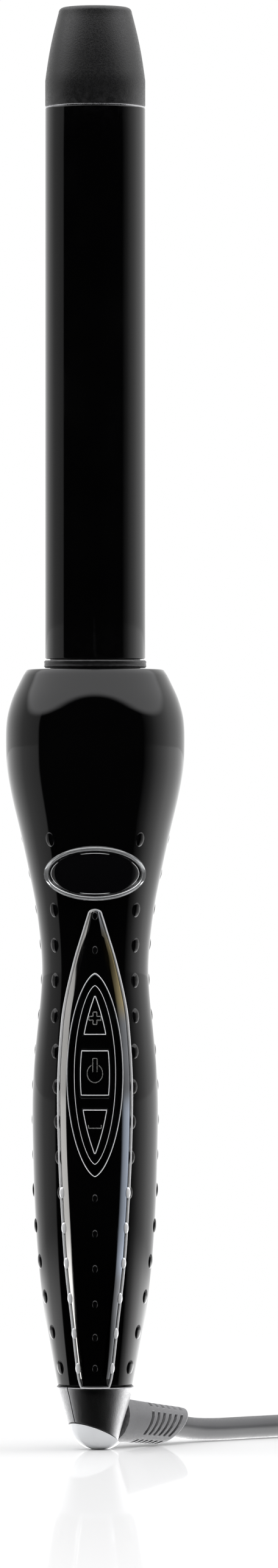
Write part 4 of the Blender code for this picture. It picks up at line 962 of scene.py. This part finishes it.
nubs = {
    "large": (2.6, 3.8, 0.5), "small": (1.5, 2.2, 0.5), "lens": (1.3, 2.9, 0.62),
    "pitch": 8.92 * mm, "low": 21.2 * mm, "rows": 16, "change": 60.0,
    "centre": (135.75, 127.1, 64.5, 55.5, 46.6, 37.6, 29.1, 21.2),
    "inner": [(21.2, 20), (30.2, 22), (39.1, 25), (47.7, 27), (56.8, 29), (65.8, 32.5), (75, 34.5), (84, 35.5),
              (93, 37.5), (102, 41), (111, 45.5), (120, 48), (129, 47.3), (138, 43.5), (147, 40), (156.3, 37)],
    "outer": [(21.2, 55), (30.2, 62), (39.1, 70), (47.7, 75), (56.8, 83), (65.8, 95), (75, 102), (156, 102)],
    "backLow": [108, 132, 156, 180], "backHigh": [130, 156, 180],
}


def geometryTree(name, inputs):
    geometry = [("Geometry", "Geometry")]
    tree, start, end = startGroup("Geometry", name, [("Geometry", "Geometry", None)] + inputs, geometry)
    tree.is_modifier = True
    return tree, start, end


def named(tree, label, kind="FLOAT_VECTOR"):
    node = addNode(tree, "GeometryNodeInputNamedAttribute", {"Name": label}, data_type=kind)
    return next(s for s in node.outputs if s.enabled and s.name == "Attribute")


def dressed(tree, start, end, geometry):  # the end of every tree: real geometry with its material
    real = addNode(tree, "GeometryNodeRealizeInstances", {"Geometry": geometry})
    dress = addNode(tree, "GeometryNodeSetMaterial", {
        "Geometry": real.outputs["Geometry"], "Material": start["Finish"]})
    feed(tree, end["Geometry"], dress.outputs["Geometry"])
    return tree


def grown(piece, tree, values, name):  # run a tree on a piece and keep the result as a plain mesh
    mod = piece.modifiers.new("grow", "NODES")
    mod.node_group = tree
    for item in tree.interface.items_tree:
        if item.item_type == "SOCKET" and item.in_out == "INPUT" and item.name in values:
            mod[item.identifier] = values[item.name]
    mesh = settled(piece)
    mesh.name = name
    bpy.data.objects.remove(piece, do_unlink=True)
    if not mesh.materials:
        mesh.materials.append(values["Finish"])
    return stood(name, mesh)


def makeNubTree():  # ovals on points: each lies on the surface, its long side up the handle
    tree, start, end = geometryTree("gripNubs", [
        ("Width", "Float", 0.0024), ("Height", "Float", 0.0034), ("Rise", "Float", 0.0005),
        ("Around", "Int", 18), ("Finish", "Material", None)])
    ball = addNode(tree, "GeometryNodeMeshUVSphere", {"Segments": start["Around"], "Rings": 12, "Radius": 1.0})
    soft = addNode(tree, "GeometryNodeSetShadeSmooth", {"Geometry": ball.outputs["Mesh"]})
    first = addNode(tree, "FunctionNodeAlignRotationToVector", {"Vector": named(tree, "upHandle")}, axis="Z")
    second = addNode(tree, "FunctionNodeAlignRotationToVector", {
        "Rotation": first.outputs["Rotation"], "Vector": named(tree, "outOfHandle")}, axis="X", pivot_axis="Z")
    size = addNode(tree, "ShaderNodeCombineXYZ", {
        "X": start["Rise"], "Y": mathNode(tree, "MULTIPLY", start["Width"], 0.5),
        "Z": mathNode(tree, "MULTIPLY", start["Height"], 0.5)})
    place = addNode(tree, "GeometryNodeInstanceOnPoints", {
        "Points": start["Geometry"], "Instance": soft.outputs["Geometry"],
        "Rotation": second.outputs["Rotation"], "Scale": size.outputs["Vector"]})
    return dressed(tree, start, end, place.outputs["Instances"])


nubTree = makeNubTree()


def surfaceAt(angle, z, lift=0.0):  # place and directions on the handle at an angle from its front
    flat = Vector((sin(angle), -cos(angle), 0.0))
    out = (flat - Vector((0, 0, slopeAt(z)))).normalized()
    up = (Vector((0, 0, 1)) + flat * slopeAt(z)).normalized()
    return flat * (handleRadius(z) + lift) + Vector((0, 0, z)), out, up


def pointsPiece(name, spots):
    mesh = bpy.data.meshes.new(name)
    mesh.from_pydata([tuple(s[0]) for s in spots], [], [])
    for label, index in (("outOfHandle", 1), ("upHandle", 2)):
        layer = mesh.attributes.new(label, "FLOAT_VECTOR", "POINT")
        for item, spot in zip(layer.data, spots):
            item.vector = spot[index]
    return stood(name, mesh)


def makeNubs():
    front, rear, edge, centre = [], [], [], []
    for row in range(nubs["rows"]):
        z = nubs["low"] + nubs["pitch"] * row
        key = z / mm
        inner, outer = table(nubs["inner"], key), table(nubs["outer"], key)
        for side in (-1, 1):
            if abs(z - display["z"]) >= 4.0 * mm:
                front.append(surfaceAt(radians(inner) * side, z))
                if key < 70:
                    x = (panelWidth(z) - 0.42 * mm) * side
                    edge.append(surfaceAt(asin(x / handleRadius(z)), z, 0.42 * mm))
            (front if outer < 88 else rear).append(surfaceAt(radians(outer) * side, z, -0.05 * mm))
            for angle in nubs["backLow"] if key < nubs["change"] else nubs["backHigh"]:
                if angle < 180 or side > 0:
                    rear.append(surfaceAt(radians(angle) * side, z))
    for z in nubs["centre"]:
        centre.append(surfaceAt(0.0, z * mm, panel["rise"] - 0.04 * mm))
    for name, spots, slot, sizes in (("front_grip_nubs", front, "gloss_black", nubs["large"]),
                                     ("rear_grip_nubs", rear, "gloss_black", nubs["large"]),
                                     ("panel_grip_nubs", centre, "gloss_black", nubs["small"]),
                                     ("panel_edge_nubs", edge, "chrome", nubs["lens"])):
        values = {label: size * mm for label, size in zip(("Width", "Height", "Rise"), sizes)}
        values["Finish"] = finishes[slot]
        put(grown(pointsPiece("gripSpots", spots), nubTree, values, name), "wand", slot)


makeNubs()
print("grip nubs ready")

knuckle = {"turn": 44.0, "top": 16.2, "radius": 9.8, "taper": 0.29, "wall": 1.8, "roof": 14.0, "cutSlope": 25.0,
           "cutZ": 3.9, "exitZ": 7.6, "exit": 3.7, "split": 0.15, "plate": 6.7, "bulge": 4.0}
turnAway = Matrix.Rotation(radians(knuckle["turn"]), 4, "Z")
lowerCut = (Matrix.Translation((0, 0, knuckle["cutZ"] * mm))
            @ Matrix.Rotation(radians(knuckle["cutSlope"]), 4, "Y"))


def boxPiece(low, high):
    low, high = Vector(low) * mm, Vector(high) * mm
    bm = bmesh.new()
    bmesh.ops.create_cube(bm, size=1.0)
    bmesh.ops.scale(bm, vec=high - low, verts=bm.verts)
    bmesh.ops.translate(bm, vec=(low + high) / 2, verts=bm.verts)
    return linked("cutter", meshFrom("cutter", bm), knuckleBlack)


def makeKnuckle():
    top, radius, taper, wall = knuckle["top"], knuckle["radius"], knuckle["taper"], knuckle["wall"]
    roof, gap, wide = knuckle["roof"], knuckle["split"], 60
    foot = radius - top * taper
    cone = [(radius - 0.4, top), (radius - 0.12, top - 0.1), (radius - 0.02, top - 0.35)]
    cone += [(between(radius, foot, k / 10), between(top, 0.0, k / 10)) for k in range(1, 11)]
    cone += [(foot - wall, 0.0), (radius - (top - roof) * taper - wall, roof), (5.3, roof), (5.3, top)]
    sideways = Matrix.Translation((0, 0, knuckle["exitZ"] * mm)) @ Matrix.Rotation(pi / 2, 4, "Y")
    for level, low, high in (("front", -gap, wide), ("rear", -wide, gap)):
        half = turned("knuckle_" + level + "_skin", cone, knuckleBlack, 120)
        away = boxPiece((-wide, low, -wide), (wide, high, wide))
        under = boxPiece((-wide, -wide, -wide), (wide, wide, 0))
        under.data.transform(lowerCut)
        hole = turned("hole", [(0, wide), (knuckle["exit"], wide), (knuckle["exit"], 0), (0, 0)],
                      knuckleBlack, 40, place=sideways)
        cutFrom(half, [away, under, hole])
        half.data.transform(turnAway)
        half.data.set_sharp_from_angle(angle=radians(30))
        put(half, "swivel", "matte_charcoal", "swivel_cap_" + level)


def makeEndPlate():
    wide, bulge = knuckle["plate"] * mm, knuckle["bulge"] * mm
    ball = (wide ** 2 + bulge ** 2) / (2 * bulge)
    dome = bmesh.new()
    bmesh.ops.create_uvsphere(dome, u_segments=96, v_segments=72, radius=ball)
    bmesh.ops.translate(dome, vec=(0, 0, ball - bulge), verts=dome.verts)

    def flatten(place, normal):
        everything = dome.verts[:] + dome.edges[:] + dome.faces[:]
        cut = bmesh.ops.bisect_plane(dome, geom=everything, plane_co=place, plane_no=normal, clear_outer=True,
                                     dist=1e-6)
        rim = [e for e in cut["geom_cut"] if isinstance(e, bmesh.types.BMEdge)]
        bmesh.ops.contextual_create(dome, geom=rim)

    flatten((0, 0, -0.3 * mm), (0, 0, 1))
    bmesh.ops.scale(dome, vec=(1.08, 1.0, 1.0), verts=dome.verts)
    bmesh.ops.translate(dome, vec=(-0.5 * mm, 0, 0), verts=dome.verts)
    bmesh.ops.transform(dome, matrix=lowerCut, verts=dome.verts)
    flatten((0, 0, 0), (0, 0, -1))
    bmesh.ops.transform(dome, matrix=turnAway, verts=dome.verts)
    piece = linked("end_plate_skin", meshFrom("end_plate_skin", dome, 30), "end_white")
    put(piece, "swivel", "end_white", "swivel_end_plate")


boot = {
    "start": 6.3, "reach": 26.5, "lean": 1.0, "rootLean": 0.29, "rootTall": 0.96, "tall": 0.86,
    "rootZ": 7.6, "endZ": 4.6, "bore": 2.95,
    "radii": [(0.0, 5.95), (0.12, 5.72), (0.3, 5.55), (0.6, 5.35), (0.93, 5.22), (0.985, 5.12), (1.0, 4.9)],
    "rows": 200, "around": 112,
    "slots": 6, "slotStart": 0.36, "slotEnd": 0.93, "slotWide": 0.46, "slotDepth": 1.9,
}


def makeSlotTree():  # press rows of slots into a sleeve: each mesh point says how far along and around it is
    tree, start, end = geometryTree("bootSlots", [
        ("Slots", "Float", 6.0), ("First", "Float", 0.36), ("Last", "Float", 0.93), ("Width", "Float", 0.42),
        ("Depth", "Float", 0.0013), ("Finish", "Material", None)])

    def calc(operation, a, b=0.0):
        return mathNode(tree, operation, a, b)

    span = calc("SUBTRACT", start["Last"], start["First"])
    share = calc("DIVIDE", calc("SUBTRACT", named(tree, "along", "FLOAT"), start["First"]), span)
    inside = calc("MULTIPLY", calc("GREATER_THAN", share, 0.0), calc("LESS_THAN", share, 1.0))
    place = calc("FRACT", calc("MULTIPLY", share, start["Slots"]))
    middle = calc("ABSOLUTE", calc("SUBTRACT", place, 0.5))
    half = calc("MULTIPLY", start["Width"], 0.5)
    slot = calc("MULTIPLY", calc("SUBTRACT", half, middle), 16.0)
    slot = calc("MINIMUM", calc("MAXIMUM", slot, 0.0), 1.0)
    sides = calc("FRACT", calc("MULTIPLY", named(tree, "around", "FLOAT"), 4.0))
    arc = calc("MULTIPLY", ranged(tree, sides, 0.12, 0.15, 0.0, 1.0, "LINEAR"),
               ranged(tree, sides, 0.88, 0.85, 0.0, 1.0, "LINEAR"))
    push = calc("MULTIPLY", calc("MULTIPLY", slot, inside), calc("MULTIPLY", arc, start["Depth"]))
    move = addNode(tree, "ShaderNodeVectorMath", {0: named(tree, "inward"), "Scale": push}, operation="SCALE")
    shift = addNode(tree, "GeometryNodeSetPosition", {
        "Geometry": start["Geometry"], "Offset": move.outputs["Vector"]})
    return dressed(tree, start, end, shift.outputs["Geometry"])


def makeBoot():
    rows, around = boot["rows"], boot["around"]
    bm = bmesh.new()
    alongLayer = bm.verts.layers.float.new("along")
    aroundLayer = bm.verts.layers.float.new("around")
    inwardLayer = bm.verts.layers.float_vector.new("inward")
    rings = []

    def addRing(share, centre, tall, radius, sleeve):
        ring = []
        for k in range(around):
            turn = whole * k / around
            out = Vector((0, 1, 0)) * sin(turn) + tall * cos(turn)
            vert = bm.verts.new((Vector(centre) + out * radius) * mm)
            vert[alongLayer] = share
            if sleeve:
                vert[aroundLayer] = (turn / whole + 0.125) % 1.0
                vert[inwardLayer] = -out
            ring.append(vert)
        rings.append(ring)

    for share in [between(0.0, 0.97, k / rows) for k in range(rows)] + [0.97, 0.98, 0.985, 0.99, 0.995, 1.0]:
        lean = between(boot["rootLean"], boot["lean"], share)
        centre = (between(boot["start"], boot["reach"], share), 0,
                  between(boot["rootZ"] - 0.4, boot["endZ"], share))
        tall = Vector((lean, 0, 1)) * between(boot["rootTall"], boot["tall"], share)
        addRing(share, centre, tall, table(boot["radii"], share), True)
    tall = Vector((boot["lean"], 0, 1)) * boot["tall"]
    for extra, back in ((0.35, 0.0), (0.1, 0.1), (0.0, 0.4), (0.0, 4.0)):  # the open end turns in
        addRing(2.0, (boot["reach"] - back, 0, boot["endZ"] + back * 0.12), tall, boot["bore"] + extra, False)
    bridge(bm, rings)
    bm.faces.new(rings[0][::-1])
    bm.faces.new(rings[-1])
    piece = linked("bootBase", meshFrom("bootBase", bm, 40), "grey_rubber")
    values = {"Slots": float(boot["slots"]), "First": boot["slotStart"], "Last": boot["slotEnd"],
              "Width": boot["slotWide"], "Depth": boot["slotDepth"] * mm, "Finish": finishes["grey_rubber"]}
    made = grown(piece, makeSlotTree(), values, "strain_relief_skin")
    made.data.transform(turnAway)
    made.data.shade_smooth()
    made.data.set_sharp_from_angle(angle=radians(35))
    return put(made, "swivel", "grey_rubber", "cord_boot")


makeKnuckle()
makeEndPlate()
reliefSleeve = makeBoot()
print("swivel ready")

tie = {"x": 111.0, "half": 5.5, "near": 0.9, "far": 25.8, "low": 0.45, "high": 18.45, "thick": 0.8,
       "corner": 3.2}


def makeTie():
    near, far, low, high = tie["near"], tie["far"], tie["low"], tie["high"]
    path = softened([(0, near, low), (0, far, low), (0, far, high), (0, near, high)], tie["corner"], 8, True)
    dense = []
    for a, b in zip(path, path[1:] + path[:1]):
        count = max(1, round((b - a).length / 1.2))
        dense += [a.lerp(b, k / count) for k in range(count)]
    half, thick = tie["half"], tie["thick"] / 2
    edge = [(half - 0.4, thick), (half - 0.12, thick * 0.8)]
    section = [(-half, 0)] + [(-u, v) for u, v in reversed(edge)]
    section += [(between(0.4 - half, half - 0.4, j / 10), thick) for j in range(1, 10)]
    section += edge + [(half, 0)] + [(u, -v) for u, v in reversed(edge)] + [(-u, -v) for u, v in edge]
    loops = []
    for k, point in enumerate(dense):
        along = (dense[(k + 1) % len(dense)] - dense[k - 1]).normalized()
        out = Vector((0, along.z, -along.y))
        loops.append([(point + out * v + Vector((tie["x"] + u, 0, 0))) * mm for u, v in section])
    piece = fromLoops("cord_tie_strap", loops, makeStrapFinish(), cyclic=True, sharp=50)
    return put(piece, "swivel", "silicone", "cord_tie")


def makeStrapFinish():  # woven hook-and-loop strap: crossed ribs of yarn with a soft sheen
    made, tree, shader, where = newFinish("strapWeave")
    waves = [addNode(tree, "ShaderNodeTexWave", {"Vector": where, "Scale": scale, "Distortion": 1.2},
                     bands_direction=direction).outputs["Fac"]
             for direction, scale in (("X", 1500.0), ("DIAGONAL", 1100.0))]
    weave = mathNode(tree, "MULTIPLY", *waves)
    feed(tree, shader["Base Color"], tint(tree, weave, (0.012, 0.012, 0.013), (0.035, 0.035, 0.037)))
    feed(tree, shader["Roughness"], ranged(tree, weave, 0.0, 1.0, 0.85, 0.65))
    roughen(tree, shader, weave, 0.6, 0.1)
    shader["Sheen Weight"].default_value = 0.3
    return made


plug = {
    "x": 144.0, "z": 25.5,
    "stations": [(57.2, 3.3, 3.3, 2.0), (56.9, 3.75, 3.75, 2.0), (51.5, 4.3, 4.3, 2.0), (45.5, 5.0, 4.9, 2.0),
                 (40.0, 5.9, 5.5, 2.1), (38.0, 6.6, 6.0, 2.3), (36.0, 8.6, 6.7, 2.8), (33.5, 10.8, 7.2, 3.4),
                 (30.5, 12.1, 7.4, 3.8), (27.5, 12.4, 7.45, 4.0), (14.5, 12.45, 7.45, 4.0),
                 (12.5, 12.4, 7.4, 4.0), (11.7, 12.1, 7.1, 4.0), (11.2, 11.4, 6.5, 4.0)],
    "straight": (14.5, 27.5), "grip": (15.5, 26.5), "ribs": 5, "ribDeep": 0.5, "around": 56,
    "blades": [("plug_blade_narrow", "blade_narrow_skin", -1, 3.15),
               ("plug_blade_wide", "blade_wide_skin", 1, 3.95)],
    "spacing": 12.7, "bladeFrom": 10.9, "bladeTo": -6.6, "bladeThick": 1.5, "holeAt": 4.6,
}


def makePlug():
    stations = plug["stations"]
    low, high = plug["grip"]
    around = plug["around"]
    ys = {s[0] for s in stations} | {between(*plug["straight"], k / 40) for k in range(41)}
    loops = []
    for y in sorted(ys, reverse=True):
        wide, tall, power = (table(sorted((s[0], s[i]) for s in stations), y) for i in (1, 2, 3))
        if low < y < high:                          # finger ribs on both sides
            phase = (y - low) / (high - low) * plug["ribs"]
            wide -= plug["ribDeep"] * (0.5 - 0.5 * cos(whole * phase))
        loop = []
        for k in range(around):
            turn = whole * k / around
            c, s = cos(turn), sin(turn)
            loop.append(((plug["x"] + copysign(abs(c) ** (2 / power), c) * wide) * mm, y * mm,
                         (plug["z"] + copysign(abs(s) ** (2 / power), s) * tall) * mm))
        loops.append(loop)
    body = fromLoops("plug_moulding", loops, "cord_grey", sharp=45)
    pieces = [put(body, "swivel", "cord_grey", "plug_body")]
    near, far = plug["bladeFrom"] * mm, plug["bladeTo"] * mm
    hole, nose, chamfer = 1.25 * mm, 1.6 * mm, 1.4 * mm
    for node, name, side, reach in plug["blades"]:
        half = reach * mm
        line = [(near, -half), (near, half), (far + nose, half), (far, half - chamfer), (far, chamfer - half),
                (far + nose, -half)]
        eye = [(far + plug["holeAt"] * mm + hole * cos(whole * k / 20), hole * sin(whole * k / 20))
               for k in range(20)]
        x = (plug["x"] + side * plug["spacing"] / 2) * mm
        stand = Matrix(((0, 0, 1, x), (1, 0, 0, 0), (0, 1, 0, plug["z"] * mm), (0, 0, 0, 1)))
        blade = flatPlate(name, [line, eye], plug["bladeThick"] * mm, 0.2 * mm, "brass", stand)
        pieces.append(put(blade, "swivel", "brass", node))
    return pieces


strap = makeTie()
plugPieces = makePlug()
for each in [cordRun, strap] + plugPieces:
    each.visible_glossy = False         # keeps the coil out of the handle's gloss
print("cord, tie and plug ready")

studio = {      # in metres
    "floor": 12.0, "floorWhite": 0.65, "mirror": 0.22, "arch": 0.45,
    "leftWall": [(0.0, 0.0), (0.385, 0.0), (0.41, 0.36), (0.66, 0.44), (0.85, 0.85), (1.0, 1.15)],
    "rightWall": [(0.0, 0.0), (0.29, 0.0), (0.4, 0.2), (0.5, 0.5), (0.7, 1.0), (1.0, 1.15)],
    "lights": [("keyTop", (0.15, -0.35, 1.5), (0.0, 0.0, 0.2), 1.2, 8.0),
               ("sideRight", (1.3, 0.35, 0.45), (0.0, 0.0, 0.15), 0.9, 7.0),
               ("sideLeft", (-1.3, 0.35, 0.5), (0.0, 0.0, 0.15), 0.9, 5.0)],
}


def rampNode(tree, value, stops):
    node = addNode(tree, "ShaderNodeValToRGB", {"Fac": value})
    ramp = node.color_ramp.elements
    for item, (position, level) in zip(ramp, (stops[0], stops[-1])):
        item.position = position
        item.color = (level, level, level, 1.0)
    for position, level in stops[1:-1]:
        ramp.new(position).color = (level, level, level, 1.0)
    return node.outputs["Color"]


def roomWalls(tree, direction):  # brightness of the walls in a direction: dark in front, white behind
    way = addNode(tree, "ShaderNodeSeparateXYZ", {"Vector": direction}).outputs
    depth = mathNode(tree, "ADD", mathNode(tree, "MULTIPLY", way["Y"], 0.5), 0.5)
    left, right = (rampNode(tree, depth, studio[wall]) for wall in ("leftWall", "rightWall"))
    return tint(tree, ranged(tree, way["X"], -0.1, 0.1, 0.0, 1.0), left, right)


def makeWorld():  # white behind, pale cards at both sides, a soft ceiling, and a dark room in front
    world = bpy.data.worlds.new("studioRoom")
    bpy.context.scene.world = world
    world.use_nodes = True
    tree = world.node_tree
    where = addNode(tree, "ShaderNodeTexCoord").outputs["Generated"]
    way = addNode(tree, "ShaderNodeSeparateXYZ", {"Vector": where}).outputs
    arch = mathNode(tree, "MULTIPLY", mathNode(tree, "MULTIPLY", way["X"], way["X"]), studio["arch"])
    above = ranged(tree, mathNode(tree, "ADD", arch, way["Z"]), 0.66, 0.76, 0.0, 1.0)
    room = tint(tree, above, roomWalls(tree, where), (1.7, 1.7, 1.72))
    seen = addNode(tree, "ShaderNodeLightPath").outputs["Is Camera Ray"]
    feed(tree, tree.nodes["Background"].inputs["Color"], tint(tree, seen, room, (1.0, 1.0, 1.0)))


def makeFloor():
    bm = bmesh.new()
    bmesh.ops.create_grid(bm, x_segments=8, y_segments=8, size=studio["floor"])
    floor = linked("studioFloor", meshFrom("studioFloor", bm), makeFloorFinish())


def mixed(tree, share, first, second):
    return addNode(tree, "ShaderNodeMixShader", {0: share, 1: first.outputs[0], 2: second.outputs[0]})


def makeFloorFinish():  # in the wand's gloss the floor shows the same dark front and pale sides as the room
    made, tree, _, where = newFinish("paleFloor")
    out = tree.nodes["Material Output"]
    tree.nodes.remove(tree.nodes["Principled BSDF"])
    white = (*[studio["floorWhite"]] * 3, 1.0)
    paint = addNode(tree, "ShaderNodeBsdfDiffuse", {"Color": white})
    mirror = addNode(tree, "ShaderNodeBsdfGlossy", {"Roughness": 0.04})
    glazed = mixed(tree, studio["mirror"], paint, mirror)
    way = addNode(tree, "ShaderNodeVectorMath", {0: where}, operation="NORMALIZE")
    reach = addNode(tree, "ShaderNodeVectorMath", {0: where}, operation="LENGTH").outputs["Value"]
    card = addNode(tree, "ShaderNodeEmission", {
        "Color": roomWalls(tree, way.outputs["Vector"]), "Strength": ranged(tree, reach, 0.06, 0.45, 4.0, 1.3)})
    faded = mixed(tree, ranged(tree, reach, 0.12, 0.5, 0.0, 1.0), glazed, addNode(tree, "ShaderNodeEmission"))
    path = addNode(tree, "ShaderNodeLightPath")
    chosen = mixed(tree, path.outputs["Is Glossy Ray"], faded, card)
    feed(tree, out.inputs["Surface"], chosen.outputs[0])
    return made


def makeLights():
    for name, place, aim, size, power in studio["lights"]:
        data = bpy.data.lights.new(name, "AREA")
        data.size = size
        data.energy = power
        lamp = stood(name, data)
        lamp.location = place
        lamp.rotation_euler = (Vector(aim) - Vector(place)).to_track_quat("-Z", "Y").to_euler()
        lamp.visible_camera = False
        lamp.visible_glossy = False


makeWorld()
makeFloor()
makeLights()
print("studio ready")
